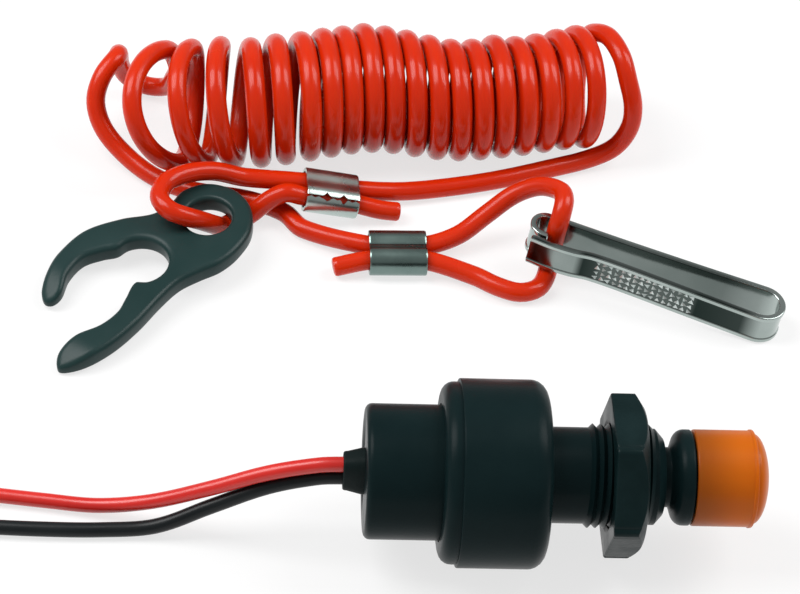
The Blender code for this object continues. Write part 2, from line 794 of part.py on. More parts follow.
def ferrule_frame(place, turn, tilt):
    """Where a ferrule lies: its own Z runs along the strands, its X from strand to strand."""
    return (
        Matrix.Translation(Vector(place))
        @ Matrix.Rotation(math.radians(turn), 4, "Z")
        @ Matrix.Rotation(math.radians(tilt), 4, "Y")
        @ Matrix(((0, 0, 1, 0), (1, 0, 0, 0), (0, 1, 0, 0), (0, 0, 0, 1)))
    )


def waisted(outline, offset, waist):
    """The same oval with its two straight sides pressed in towards each other."""
    pressed = []
    for place in outline:
        reach = min(abs(place[0]) / offset, 1.0)
        dip = waist * (1 + math.cos(math.pi * reach)) / 2
        pressed.append((place[0], place[1] - math.copysign(dip, place[1])))
    return pressed


def ferrule(name, frame, length, finish, waist=0.0):
    """An oval sleeve round two strands, pinched by its waist where it is crimped between them."""
    outer = waisted(stadium(STRAND_OFFSET, FERRULE_RADIUS), STRAND_OFFSET, waist)
    bore_waist = waist * BORE_WAIST_SHARE
    inner = waisted(stadium(STRAND_OFFSET, FERRULE_BORE), STRAND_OFFSET, bore_waist)
    mesh = plate(name, [outer, inner], length, 0.15, 1)
    scaled = frame.copy()
    scaled.translation = frame.translation * MM
    mesh.transform(scaled @ Matrix.Translation((0, 0, -length / 2 * MM)))
    add_object(name, mesh, finish, set_frame)


def strand(frame, side, along):
    """A point on one strand inside a ferrule."""
    return frame @ Vector((side * STRAND_OFFSET, 0, along))


def clip_outline():
    """The fork clip seen from above: two arms, the round slot, the waist and the eye."""
    arms_and_eye = [
        (SHORT_TIP, 7.2), (-17.5, 12.0), (-11.0, 15.2), (-3.0, 16.2), (5.0, 13.4),
        (11.0, 9.8), (15.5, 9.4), (20.5, 10.4), (25.8, 8.2), (28.8, 2.6), (28.0, -3.6),
        (23.5, -8.8), (17.5, -11.2), (12.0, -11.6), (7.0, -10.4), (2.0, -9.6),
        (-4.0, -10.4), (-12.0, -12.2), (-20.0, -13.0), (-27.0, -12.0), (LONG_TIP, -9.0),
        (-29.0, -6.2), (-23.5, -5.6), (-18.0, -7.0), (-13.0, -6.7), (-9.3, -5.0),
    ]
    outline = list(arms_and_eye)
    outline += arc((-0.2, 1.0), SLOT_RADIUS, -140, 100, 9)
    outline += [(-4.2, 8.8), (-8.5, 10.2), (-13.5, 9.0), (-18.0, 6.2)]
    return evenly(spline([(*p, 0.0) for p in outline], 16, True), OUTLINE_STEP, True)


def clip_frame():
    """Where the clip lies: its fork tips on the surface, and its eye lifted by the cord."""
    lift = -LONG_TIP * math.sin(math.radians(CLIP_TILT))
    return (
        Matrix.Translation((*CLIP_PLACE, lift))
        @ Matrix.Rotation(math.radians(CLIP_TURN), 4, "Z")
        @ Matrix.Rotation(math.radians(-CLIP_TILT), 4, "Y")
    )


def kill_clip():
    """The fork clip that holds the plunger out: a plate with rounded edges and thinned tips."""
    eye = arc(EYE_CENTRE, EYE_RADIUS, 0, 345, 23)
    mesh = plate("kill_clip", [clip_outline(), eye], CLIP_THICKNESS, CLIP_EDGE)
    for vertex in mesh.vertices:
        tip = LONG_TIP if vertex.co.y < 0 else SHORT_TIP
        inside = min(max((vertex.co.x / MM - tip) / TIP_TAPER, 0.0), 1.0)
        share = TIP_HEIGHT + (1 - TIP_HEIGHT) * math.sin(inside * math.pi / 2)
        vertex.co.z *= share
    frame = clip_frame()
    frame.translation = frame.translation * MM
    mesh.transform(frame)
    add_object("kill_clip", mesh, clip_plastic, set_frame, 50)


def hook_frame():
    """Where the hook lies: on edge, its far bend on the surface, its mouth on the cord."""
    lift = HOOK_LENGTH * math.sin(math.radians(HOOK_TILT))
    return (
        Matrix.Translation((*HOOK_PLACE, lift))
        @ Matrix.Rotation(math.radians(HOOK_TURN), 4, "Z")
        @ Matrix.Rotation(math.radians(HOOK_TILT), 4, "Y")
    )


def snap_hook():
    """The snap hook: one steel strip folded to a long loop, its mouth closed by the front leg."""
    far_centre = HOOK_LENGTH - FAR_BEND - STRIP_THICKNESS / 2
    mouth_centre = BACK_LEG - LIP_BEND
    waist, belly = (HOOK_LENGTH * share for share in LEG_SHARES)
    front = [(1.2, -FRONT_LEG), (6.0, -FRONT_LEG - 0.3), (11.0, -FRONT_LEG), (15.0, -FRONT_LEG + 0.7)]
    front += [(waist, -FRONT_LEG + 0.8), (belly, -FRONT_LEG + 0.3)]
    far = arc((far_centre, 0), FAR_BEND, -90, 90, 14)
    back = [(belly, BACK_LEG + 0.4), (waist, BACK_LEG + 0.1), (10.0, BACK_LEG)]
    lip = arc((3.0, mouth_centre), LIP_BEND, 90, 270, 12)
    path = front + far + back + lip + [(4.0, mouth_centre - LIP_BEND)]
    line = evenly(spline([(*p, 0.0) for p in path], 16), STRIP_STEP)
    mesh = plate("snap_hook", [thickened(line, STRIP_THICKNESS)], STRIP_WIDTH, STRIP_EDGE, 1)
    frame = hook_frame()
    frame.translation = frame.translation * MM
    mesh.transform(frame)
    add_object("snap_hook", mesh, chrome, set_frame, 50)


def coil_exit(end, sense, out, side, height):
    """A point just off one end of the coil, on the line of a turn's last stretch."""
    along = (Vector(COIL_RIGHT) - Vector(COIL_LEFT)).normalized()
    place = Vector(end) + along * sense * out + Vector((-along.y, along.x)) * side
    return (place.x, place.y, height)


def clip_lead(frame):
    """Cord from the coil's right end, through the ferrule, round the clip's eye and back."""
    half = CLIP_FERRULE_LENGTH / 2
    clip = clip_frame()
    over = CLIP_THICKNESS + CORD_RADIUS + CORD_CLEARANCE
    under = -CORD_RADIUS - CORD_CLEARANCE
    middle = CLIP_THICKNESS / 2
    eye, side = EYE_CENTRE
    loop = [
        (eye + 15.0, 5.2, 2.2),
        (eye + 8.5, 8.8, over - 0.6),
        (eye + 1.5, 10.6, over),
        (eye - 6.0, 9.4, over),
        (eye - 10.8, 7.0, over),
        (eye - 11.6, 3.6, over),
        (eye - 9.4, side + 0.6, over),
        (eye - 6.0, side, over),
        (eye - 3.9, side, over - 0.4),
        (eye - 2.2, side, middle + 2.6),
        (eye, side, middle),
        (eye + 2.2, side, middle - 2.6),
        (eye + 3.9, side, under + 0.4),
        (eye + 6.0, side, under),
        (eye + 10.5, side - 1.0, under - 0.2),
        (eye + 15.0, side - 3.0, under + 3.0),
        (eye + 18.4, side - 5.2, under + 4.7),
    ]
    route = [
        coil_exit(COIL_RIGHT, 1, 0.9, 6.0, 24.0),
        coil_exit(COIL_RIGHT, 1, 5.4, 6.0, 23.6),
        (67.4, 122.6, 14.5),
        (66.0, 114.0, 6.0),
        (60.5, 108.0, 2.5),
        (51.0, 104.5, CORD_LIE),
        (38.0, 102.4, CORD_LIE),
        (24.0, 100.4, CORD_LIE),
        (11.0, 98.6, CORD_LIE + 0.4),
        strand(frame, 1, half),
        strand(frame, 1, -half),
        *(clip @ Vector(p) for p in loop),
        strand(frame, -1, -half),
        strand(frame, -1, half),
        (6.0, 92.0, CORD_LIE + 0.8),
        (10.5, 92.2, CORD_LIE + 0.1),
    ]
    tube("clip_lead", spline(route, 2), CORD_RADIUS, red_cord, set_frame, 2)


def hook_lead(frame):
    """Cord from the coil's left end, through the other ferrule, round the hook and back."""
    half = HOOK_FERRULE_LENGTH / 2
    hook = hook_frame()
    middle = (BACK_LEG - FRONT_LEG) / 2
    over = STRIP_WIDTH + CORD_RADIUS + CORD_CLEARANCE
    floor = -HOOK_LENGTH * math.sin(math.radians(HOOK_TILT)) + CORD_RADIUS
    loop = [
        (HOOK_PASS + 1.6, BACK_LEG + 6.4, over - 1.0),
        (HOOK_PASS + 0.6, BACK_LEG + 3.4, over + 0.5),
        (HOOK_PASS, BACK_LEG + 1.0, over + 0.7),
        (HOOK_PASS, middle + 1.5, over - 0.8),
        (HOOK_PASS, middle, over - 4.4),
        (HOOK_PASS, middle, 2.0),
        (HOOK_PASS, middle - 1.5, -1.9),
        (HOOK_PASS - 0.4, middle - 4.8, floor + 0.9),
    ]
    route = [
        coil_exit(COIL_LEFT, -1, 0.9, 5.0, 25.0),
        coil_exit(COIL_LEFT, -1, 5.2, 5.0, 24.4),
        (-57.0, 112.0, 19.0),
        (-59.6, 107.5, 11.0),
        (-57.6, 102.6, 4.6),
        (-51.5, 99.8, CORD_LIE + 0.2),
        (-43.5, 98.4, CORD_LIE),
        (-34.0, 97.4, CORD_LIE),
        (-23.5, 95.2, CORD_LIE),
        (-15.4, 91.2, CORD_LIE),
        (-11.0, 86.0, CORD_LIE),
        strand(frame, 1, -half),
        strand(frame, 1, half),
        (22.5, 84.2, 3.6),
        (29.5, 89.0, 5.6),
        (36.5, 91.0, 9.0),
        (43.0, 88.8, 12.8),
        *(hook @ Vector(p) for p in loop),
        (39.5, 69.4, CORD_LIE),
        (33.0, 70.2, CORD_LIE),
        (26.5, 72.4, CORD_LIE + 0.1),
        strand(frame, -1, half),
        strand(frame, -1, -half),
        (-4.6, 74.0, CORD_LIE + 0.1),
    ]
    tube("hook_lead", spline(route, 2), CORD_RADIUS, red_cord, set_frame, 2)


# Switch
front_housing()
rear_housing()
ring_seal("housing_seal", COLLAR_REAR + PLUG_DEPTH / 2, REAR_RADIUS - SEAL_WIRE_RADIUS)
ring_seal("stem_seal", POCKET_FRONT + STEM_SEAL_INSET, STEM_RADIUS + CLEARANCE + SEAL_WIRE_RADIUS)
mounting_nut()
plunger_spool()
end_cap()
plunger_stem()
return_spring()
washer("contact_carrier", CARRIER_REAR, CARRIER_FRONT, STEM_RADIUS + CLEARANCE, CARRIER_RADIUS,
       board_plastic)
washer("contact_ring", RING_REAR, RING_REAR + RING_THICKNESS, STEM_HEAD_RADIUS + CLEARANCE,
       RING_RADIUS, brass)
terminal_board()
fixed_contact("red_contact", 1)
fixed_contact("black_contact", -1)
wire_boot()
bullet("red_bullet", lead("red_wire", 1, red_wire_skin))
bullet("black_bullet", lead("black_wire", -1, black_wire_skin))

# Lanyard
coil_cord()
clip_side = ferrule_frame(CLIP_FERRULE_PLACE, CLIP_FERRULE_TURN, CLIP_FERRULE_TILT)
hook_side = ferrule_frame((*HOOK_FERRULE_PLACE, FERRULE_RADIUS), HOOK_FERRULE_TURN, 0.0)
ferrule("clip_ferrule", clip_side, CLIP_FERRULE_LENGTH, chrome)
ferrule("hook_ferrule", hook_side, HOOK_FERRULE_LENGTH, aluminium, FERRULE_WAIST)
kill_clip()
snap_hook()
clip_lead(clip_side)
hook_lead(hook_side)
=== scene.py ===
# %% [markdown]
# # Engine kill switch with its curly lanyard
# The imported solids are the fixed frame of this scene. Each step below says what a piece is on
# the real object and how it is made here. Lengths are written in millimetres, measured from the
# middle of the switch's rear face on the surface, and one helper turns them into the row's metres.

# %% Load the frame
import math

import bmesh
import bpy
from mathutils import Matrix, Vector


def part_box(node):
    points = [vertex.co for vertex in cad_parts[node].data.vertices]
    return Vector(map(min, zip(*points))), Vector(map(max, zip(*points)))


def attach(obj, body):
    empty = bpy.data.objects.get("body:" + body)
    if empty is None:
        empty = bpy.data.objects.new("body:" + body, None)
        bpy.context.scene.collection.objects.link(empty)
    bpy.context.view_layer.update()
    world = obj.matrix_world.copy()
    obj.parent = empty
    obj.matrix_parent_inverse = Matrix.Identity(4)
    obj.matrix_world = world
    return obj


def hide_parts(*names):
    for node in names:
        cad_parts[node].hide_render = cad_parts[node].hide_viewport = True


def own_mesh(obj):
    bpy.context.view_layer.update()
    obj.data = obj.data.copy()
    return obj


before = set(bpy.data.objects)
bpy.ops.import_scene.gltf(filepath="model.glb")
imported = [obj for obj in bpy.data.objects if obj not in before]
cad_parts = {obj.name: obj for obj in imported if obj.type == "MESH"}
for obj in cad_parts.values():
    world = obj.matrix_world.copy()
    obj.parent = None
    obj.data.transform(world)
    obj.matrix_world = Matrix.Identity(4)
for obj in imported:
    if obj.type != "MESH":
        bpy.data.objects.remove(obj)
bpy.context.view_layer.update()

MM = 0.001
SET_MIDDLE = Vector((13.15, 40.5, 0.0))
SWITCH_AXIS_HEIGHT = 18.85
BASE = "switch_and_lanyard"


def row(point):
    """A layout point in millimetres as a row point in metres."""
    return (Vector(point) - SET_MIDDLE) * MM


# %% [markdown]
# The photograph was taken from above, with a long lens. The camera's place and roll were worked
# out once from the edges of the switch in the picture, and are written here as plain directions.
# Three directions at right angles make the matrix that says how the camera is turned.

# %% Camera
FOCAL_LENGTH = 135.0
camera_data = bpy.data.cameras.new("photo_camera")
camera_data.lens = FOCAL_LENGTH
camera_data.sensor_width = 36.0
camera_data.clip_start = 0.02
camera_data.clip_end = 20.0
camera = bpy.data.objects.new("photo_camera", camera_data)
bpy.context.collection.objects.link(camera)
CAMERA_PLACE = (-30.3235, -394.3368, 463.7547)
look = Vector((0.06162842, 0.70441603, -0.70710678))
right_of_view = Vector((0.99781783, -0.02666261, 0.0604044))
up_of_view = Vector((-0.02369651, 0.70928638, 0.70452204))
pose = Matrix((right_of_view, up_of_view, -look)).transposed().to_4x4()
pose.translation = row(CAMERA_PLACE)
camera.matrix_world = pose
bpy.context.scene.camera = camera
print("camera at, mm:", [round(c / MM) for c in pose.translation])

# %% [markdown]
# The lanyard and both wires follow a curve through a few chosen points. A cubic between each pair
# of points, with its slopes taken from the distances on either side, passes through every point
# and doesn't overshoot where they are unevenly spaced.

# %% Curves through points


def flowing(points, steps):
    """A smooth line through the points, with some steps from each to the next."""
    places = [Vector(p) for p in points]
    line = []
    for index in range(len(places) - 1):
        b, c = places[index], places[index + 1]
        a = places[index - 1] if index else b * 2 - c
        d = places[index + 2] if index + 2 < len(places) else c * 2 - b
        span = (c - b).length
        leave = (c - a) * span / (span + (b - a).length)
        reach = (d - b) * span / (span + (d - c).length)
        for step in range(steps):
            t = step / steps
            line.append(
                b * (2 * t**3 - 3 * t**2 + 1)
                + leave * (t**3 - 2 * t**2 + t)
                + c * (3 * t**2 - 2 * t**3)
                + reach * (t**3 - t**2)
            )
    line.append(places[-1])
    return line


def line_length(line):
    return sum((b - a).length for a, b in zip(line, line[1:]))


def evenly(line, spacing):
    """The same line with its points at an even spacing."""
    travelled = [0.0]
    for before, after in zip(line, line[1:]):
        travelled.append(travelled[-1] + (after - before).length)
    pieces = max(2, round(travelled[-1] / spacing))
    points, index = [], 0
    for step in range(pieces + 1):
        target = travelled[-1] * step / pieces
        while index < len(line) - 2 and travelled[index + 1] < target:
            index += 1
        span = travelled[index + 1] - travelled[index]
        points.append(line[index].lerp(line[index + 1], min((target - travelled[index]) / span, 1)))
    return points


# %% [markdown]
# A tube is swept along a line by carrying one frame from point to point, so it never twists.
# Its ends are rounded over in a few rings, because a cut plastic cord has no knife edge.

# %% Tubes
HALF_ROUND, CLEAR_OF_END = 0.3, 1.5


def joined(shape, rings):
    """Faces between each ring of corners and the next."""
    for near, far in zip(rings, rings[1:]):
        for index in range(len(near)):
            following = (index + 1) % len(near)
            shape.faces.new((near[index], near[following], far[following], far[index]))


def swept_tube(name, line, radius, sides, end_round, swell=None):
    """A closed mesh tube along a line in layout millimetres, with softly rounded ends.

    The end is rounded over a share of the radius, and swell widens the tube point by point.
    """
    stations = list(zip(line, swell or [1.0] * len(line)))
    first, last = (line[1] - line[0]).normalized(), (line[-1] - line[-2]).normalized()
    bend = radius * end_round
    caps = [(0.0, 1.0 - end_round), (bend * HALF_ROUND, 1.0 - end_round * HALF_ROUND), (bend, 1.0)]
    head = [(line[0] + first * along, share) for along, share in caps]
    tail = [(line[-1] - last * along, share) for along, share in reversed(caps)]
    clear = bend * CLEAR_OF_END
    middle = [s for s in stations if min((s[0] - line[0]).length, (s[0] - line[-1]).length) > clear]
    stations = head + middle + tail
    shape = bmesh.new()
    side = first.orthogonal().normalized()
    rings = []
    for index, (place, share) in enumerate(stations):
        before = stations[max(index - 1, 0)][0]
        after = stations[min(index + 1, len(stations) - 1)][0]
        along = (after - before).normalized()
        side = (side - along * side.dot(along)).normalized()
        other = along.cross(side)
        ring = []
        for step in range(sides):
            angle = math.tau * step / sides
            spoke = side * math.cos(angle) + other * math.sin(angle)
            ring.append(shape.verts.new(row(place + spoke * radius * share)))
        rings.append(ring)
    joined(shape, rings)
    shape.faces.new(rings[0][::-1])
    shape.faces.new(rings[-1])
    return new_piece(name, shape)


def new_piece(name, shape, smooth_angle=40.0):
    """A finished mesh object at the origin, with smooth faces and sharp edges kept."""
    bmesh.ops.recalc_face_normals(shape, faces=shape.faces)
    mesh = bpy.data.meshes.new(name)
    shape.to_mesh(mesh)
    shape.free()
    mesh.shade_smooth()
    mesh.set_sharp_from_angle(angle=math.radians(smooth_angle))
    piece = bpy.data.objects.new(name, mesh)
    bpy.context.collection.objects.link(piece)
    return piece


# %% [markdown]
# Two strands lie side by side in each ferrule. These frames say where the two ferrules, the
# fork clip and the snap hook lie, so that the cord can be led through and round them. The clip
# and the hook lean: their far tips touch the surface, and the cord under the other end lifts it.

# %% Places of the fittings
CORD_RADIUS = 2.15
CORD_LIE = 2.25
STRAND_OFFSET = 2.35
SLEEVE_BORE = 2.45
SLEEVE_RADIUS = 3.35
CLIP_SLEEVE_LENGTH = 12.0
HOOK_SLEEVE_LENGTH = 12.6
CLIP_TIP, CLIP_TILT = 31.2, 5.0
HOOK_TIP, HOOK_TILT = 58.0, 6.0


def turned_frame(place, turn, tilt):
    """A frame at a place, turned about the upright axis and then tilted, in degrees."""
    turn = Matrix.Rotation(math.radians(turn), 4, "Z")
    return Matrix.Translation(Vector(place)) @ turn @ Matrix.Rotation(math.radians(tilt), 4, "Y")


def lifted(tip, tilt):
    """How high a tilted plate's origin stands when its tip touches the surface."""
    return tip * math.sin(math.radians(tilt))


ALONG_STRANDS = Matrix(((0, 0, 1, 0), (1, 0, 0, 0), (0, 1, 0, 0), (0, 0, 0, 1)))
clip_sleeve_frame = turned_frame((-5.2, 94.4, 5.5), 3.0, 12.0) @ ALONG_STRANDS
hook_sleeve_frame = turned_frame((9.6, 78.0, SLEEVE_RADIUS), 1.5, 0.0) @ ALONG_STRANDS
clip_frame = turned_frame((-45.7, 69.8, lifted(CLIP_TIP, CLIP_TILT)), 42.3, -CLIP_TILT)
hook_frame = turned_frame((38.0, 78.6, lifted(HOOK_TIP, HOOK_TILT)), -19.6, HOOK_TILT)
print("lifted, mm: clip", round(clip_frame.translation.z, 1), "hook", round(hook_frame.translation.z, 1))


def strand(sleeve, side, along):
    """A point on one of the two strands inside a ferrule."""
    return sleeve @ Vector((side * STRAND_OFFSET, 0, along))


# %% [markdown]
# The coil is the hard part of the cord. The real one was wound hot on a rod and then handled, so
# its turns lie close on the right and have sprung open on the left. The first list says where
# each turn passes over the top, as read from the photograph. The others pull the near side of
# the first turns to the left, bow the coil away in its middle and make its right half slimmer.
# A turn goes nearly straight down its near side and makes most of its way along on the far side.

# %% Coil
COIL_LEFT = Vector((-46.0, 110.2))
COIL_RIGHT = Vector((58.0, 121.2))
TURN_TOPS = [5.3, 10.9, 17.2, 23.6, 29.2, 34.9, 39.9, 44.6, 49.4, 54.2, 59.0, 63.9, 68.8, 73.7, 78.7,
             83.7, 88.6, 93.4, 97.9, 102.4]
NEAR_LEANS = [10.0, 5.8, 3.6, 1.2, 0.8, 0, 0, 0, 0, 0, 0, 0, 0, 0, 0, -0.3, -0.7, -1.2, -1.8, -3.0]
BOWS = [0.6, 0.8, 1.0, 0.8, 1.2, 1.9, 2.8, 3.6, 4.2, 3.9, 2.7, 1.2, 0, -0.3, 0, 0.3, 0.9, 1.6, 2.1, 2.2]
TURN_RADII = [14.9, 14.9, 15.0, 14.7, 14.9, 14.8, 14.8, 14.7, 14.7, 14.4, 14.2, 14.0, 13.8, 13.8, 14.1,
              13.7, 13.7, 14.0, 14.2, 14.3]
STEPS_PER_TURN = 16
FIRST_TURN, FIRST_ANGLE = -0.12, 45.0
NEAR_ANGLE = 135.0
STRAIGHTEN = 0.3
FAR_SHARE, FAR_SOFTNESS = 0.33, 0.03
COIL_CLEARANCE = 0.1
coil_along = (COIL_RIGHT - COIL_LEFT).normalized()
coil_side = Vector((-coil_along.y, coil_along.x))


def coil_place(distance, side, height):
    """A point from its distance along the coil, its offset to the far side and its height."""
    place = COIL_LEFT + coil_along * distance + coil_side * side
    return Vector((place.x, place.y, height))


def eased(values, at):
    """A value between the listed ones, with a smooth change of slope."""
    at = min(max(at, 0.0), len(values) - 1.0)
    index = min(int(at), len(values) - 2)
    a, b, c, d = (values[min(max(index + k, 0), len(values) - 1)] for k in (-1, 0, 1, 2))
    t = at - index
    square, cube = 2 * a - 5 * b + 4 * c - d, 3 * b - a - 3 * c + d
    return (2 * b + (c - a) * t + square * t**2 + cube * t**3) / 2


def coil_line():
    """The coil's points, a fixed number for each turn."""
    points = []
    start, end = FIRST_TURN, len(TURN_TOPS) - 1.0
    steps = int((end - start) * STEPS_PER_TURN)
    for step in range(steps + 1):
        turns = start + (end - start) * step / steps
        angle = math.radians(FIRST_ANGLE + 360.0 * turns)
        pitch = eased(TURN_TOPS, turns + 0.5) - eased(TURN_TOPS, turns - 0.5)
        facing = math.cos(angle - math.radians(NEAR_ANGLE))
        pull = (1 - FAR_SHARE) * facing + FAR_SHARE * math.sqrt(facing**2 + FAR_SOFTNESS)
        distance = eased(TURN_TOPS, turns) - STRAIGHTEN * pitch * math.sin(math.pi * turns) ** 2
        distance -= eased(NEAR_LEANS, turns - 0.25) * pull
        outer = eased(TURN_RADII, turns)
        side = (outer - CORD_RADIUS) * math.cos(angle) + eased(BOWS, turns)
        height = outer + COIL_CLEARANCE + (outer - CORD_RADIUS) * math.sin(angle)
        points.append(coil_place(distance, side, height))
    return points


coil_points = coil_line()
print("coil:", len(TURN_TOPS) - 1, "turns,", round(line_length(coil_points)), "mm of cord")

# %% [markdown]
# The lanyard is one length of cord. It starts with the tail at the hook's ferrule, goes round
# the hook, back through the ferrule, through the coil, and ends with the tail at the clip's
# ferrule. The two loops are written in the hook's and the clip's own frames, so that the cord
# keeps its place in their openings, and the rest lies on the surface or on what is under it.

# %% Lanyard route
HOOK_LOOP = [
    (3.0, 8.2, 11.2), (4.7, 5.4, 12.0), (5.3, 2.3, 10.7), (5.4, 0.65, 7.4),
    (5.5, 0.4, 2.8), (5.9, -1.2, -1.3), (6.3, -4.9, -3.0),
]
CLIP_LOOP = [
    (34.0, 5.2, 2.2), (28.5, 8.8, 5.4), (22.9, 10.8, 7.4), (16.8, 11.2, 8.7), (12.3, 8.4, 9.2),
    (11.6, 4.2, 8.8), (13.9, 1.4, 7.2), (17.0, 0.2, 4.5), (20.2, 0.1, 1.0), (22.7, 0.2, -1.5),
    (25.2, 0.3, -2.4), (29.5, -0.6, -2.6), (34.0, -2.6, 0.6), (37.4, -4.8, 2.3),
]
hook_half = HOOK_SLEEVE_LENGTH / 2
clip_half = CLIP_SLEEVE_LENGTH / 2
hook_run = [
    (-4.6, 74.0, CORD_LIE + 0.1),
    *(strand(hook_sleeve_frame, -1, along) for along in (-hook_half, 0.0, hook_half)),
    (26.5, 72.4, CORD_LIE + 0.1), (31.2, 69.5, CORD_LIE), (36.0, 67.7, CORD_LIE), (39.9, 68.9, CORD_LIE),
    *(hook_frame @ Vector(p) for p in reversed(HOOK_LOOP)),
    (40.6, 88.6, 14.6), (35.4, 89.6, 11.0), (29.4, 87.2, 7.0), (23.2, 83.4, 4.1),
    *(strand(hook_sleeve_frame, 1, along) for along in (hook_half, 0.0, -hook_half)),
    (-11.0, 86.0, CORD_LIE), (-15.4, 91.2, CORD_LIE), (-23.5, 95.0, CORD_LIE),
    (-33.0, 96.8, CORD_LIE), (-39.3, 98.7, CORD_LIE), (-46.0, 102.8, 2.4), (-52.4, 108.0, 4.5),
    (-56.6, 112.0, 8.0), (-58.2, 116.0, 12.2), (-56.7, 119.8, 16.3), (-53.7, 124.0, 18.2),
    (-53.4, 127.8, 15.9), (-53.2, 130.4, 10.6), (-51.6, 131.9, 5.6), (-47.2, 132.2, 2.7),
    (-42.6, 130.4, 4.2), (-40.9, 127.2, 9.6),
]
clip_run = [
    coil_place(104.8, 5.4, 26.2), coil_place(106.6, -1.0, 25.8),
    (61.6, 116.4, 22.5), (63.2, 113.6, 17.0), (63.0, 112.8, 11.0), (60.2, 112.4, 5.4),
    (54.6, 111.4, 2.5), (45.4, 108.0, CORD_LIE), (33.7, 103.9, CORD_LIE), (22.2, 100.9, CORD_LIE),
    (11.0, 98.6, CORD_LIE + 0.4),
    *(strand(clip_sleeve_frame, 1, along) for along in (clip_half, 0.0, -clip_half)),
    *(clip_frame @ Vector(p) for p in CLIP_LOOP),
    *(strand(clip_sleeve_frame, -1, along) for along in (-clip_half, 0.0, clip_half)),
    (6.0, 92.0, CORD_LIE + 0.8), (10.5, 92.2, CORD_LIE + 0.1),
]
ROUTE_STEPS, CORD_STEP = 6, 1.1
lanyard_route = hook_run + coil_points + clip_run
cord_line = evenly(flowing(lanyard_route, ROUTE_STEPS), CORD_STEP)

# %% [markdown]
# Now the route gets its thickness. Building the cord as one tube keeps every bend smooth where
# the coil begins and ends. The photograph's turns touch each other. Here they stay a hair apart,
# so that they never cross, and the cord swells a little in the close turns to make up for it.

# %% Lanyard cord
COIL_SWELL, SWELL_RAMP = 0.065, 45
FIRST_CLOSE_TURN, LAST_CLOSE_TURN = 2, 17


def coil_swell(line, first, last):
    """How much wider the cord is at each point: it swells between two places of its line."""
    start, end = (min(range(len(line)), key=lambda i: (line[i] - p).length) for p in (first, last))
    shares = [min(max(min(i - start, end - i) / SWELL_RAMP, 0.0), 1.0) for i in range(len(line))]
    return [1.0 + COIL_SWELL * share for share in shares]


close_turns = coil_swell(cord_line, coil_points[STEPS_PER_TURN * FIRST_CLOSE_TURN],
                         coil_points[STEPS_PER_TURN * LAST_CLOSE_TURN])
lanyard_cord = swept_tube("lanyard_cord", cord_line, CORD_RADIUS, sides=18, end_round=0.3, swell=close_turns)
print("lanyard cord:", len(lanyard_cord.data.polygons), "faces")
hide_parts("coil_cord", "clip_lead", "hook_lead")
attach(lanyard_cord, BASE)

# %% [markdown]
# Two insulated wires leave the rubber boot, one above the other, sink to the surface and end in
# bullet terminals just outside the view. They keep the routes of the solids they stand for.

# %% Wires
WIRE_RADIUS = 1.55
WIRE_LIE = WIRE_RADIUS + 0.1
BOOT_END = -4.2
WIRE_STEPS, WIRE_STEP = 8, 1.2
RED_ROUTE = [
    (9.0, 0.0, 22.4), (7.5, 0.0, 20.98), (3.5, 0.0, 20.7), (BOOT_END, 0.0, 20.7), (-9.2, 0.0, 20.3),
    (-19.0, 0.2, 17.45), (-30.0, 0.9, 11.85), (-42.0, 2.4, 5.65), (-53.0, 4.0, WIRE_LIE + 0.6),
    (-64.0, 5.6, WIRE_LIE), (-76.0, 7.0, WIRE_LIE), (-90.0, 8.0, WIRE_LIE),
]
BLACK_ROUTE = [
    (9.0, 0.0, 15.2), (7.5, 0.0, 16.72), (3.5, 0.0, 17.0), (BOOT_END, 0.0, 17.0), (-9.2, 0.0, 16.6),
    (-19.0, -0.3, 13.85), (-30.0, -0.8, 8.25), (-41.0, -1.4, WIRE_LIE + 0.9), (-52.0, -1.9, WIRE_LIE),
    (-64.0, -2.0, WIRE_LIE), (-76.0, -1.6, WIRE_LIE), (-88.0, -1.0, WIRE_LIE),
]
leads = {}
for label, route in (("red", RED_ROUTE), ("black", BLACK_ROUTE)):
    wire_line = evenly(flowing(route, WIRE_STEPS), WIRE_STEP)
    lead = swept_tube(label + "_lead", wire_line, WIRE_RADIUS, sides=16, end_round=0.1)
    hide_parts(label + "_wire")
    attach(lead, BASE)
    leads[label] = lead
    print(label, "lead:", round(line_length(wire_line)), "mm")

# %% [markdown]
# Moulded plastic, rubber and plated steel all share two faults that make them look real: a very
# fine unevenness of the skin, and soft patches where hands have rubbed it. One small node group
# makes both. It is built once and given its own values in every material.

# %% Shared effects
NOISE_SPREAD = (0.2, 0.8)


def new_group(name, numbers, outputs):
    """An empty node group with number inputs and the named outputs."""
    group = bpy.data.node_groups.new(name, "ShaderNodeTree")
    for label, value in numbers:
        socket = group.interface.new_socket(label, in_out="INPUT", socket_type="NodeSocketFloat")
        socket.default_value = value
    for label, kind in outputs:
        group.interface.new_socket(label, in_out="OUTPUT", socket_type=kind)
    return group, group.nodes.new("NodeGroupInput"), group.nodes.new("NodeGroupOutput")


def noise(group, place, scale, detail):
    """A noise whose size comes from a socket."""
    node = group.nodes.new("ShaderNodeTexNoise")
    node.inputs["Detail"].default_value = detail
    group.links.new(place, node.inputs["Vector"])
    group.links.new(scale, node.inputs["Scale"])
    return node.outputs["Fac"]


def between(group, share, low, high):
    """A noise turned into a number between two others, each a socket or a number."""
    node = group.nodes.new("ShaderNodeMapRange")
    node.interpolation_type = "SMOOTHSTEP"
    group.links.new(share, node.inputs["Value"])
    node.inputs["From Min"].default_value, node.inputs["From Max"].default_value = NOISE_SPREAD
    for socket, value in (("To Min", low), ("To Max", high)):
        if isinstance(value, (int, float)):
            node.inputs[socket].default_value = value
        else:
            group.links.new(value, node.inputs[socket])
    return node.outputs["Result"]


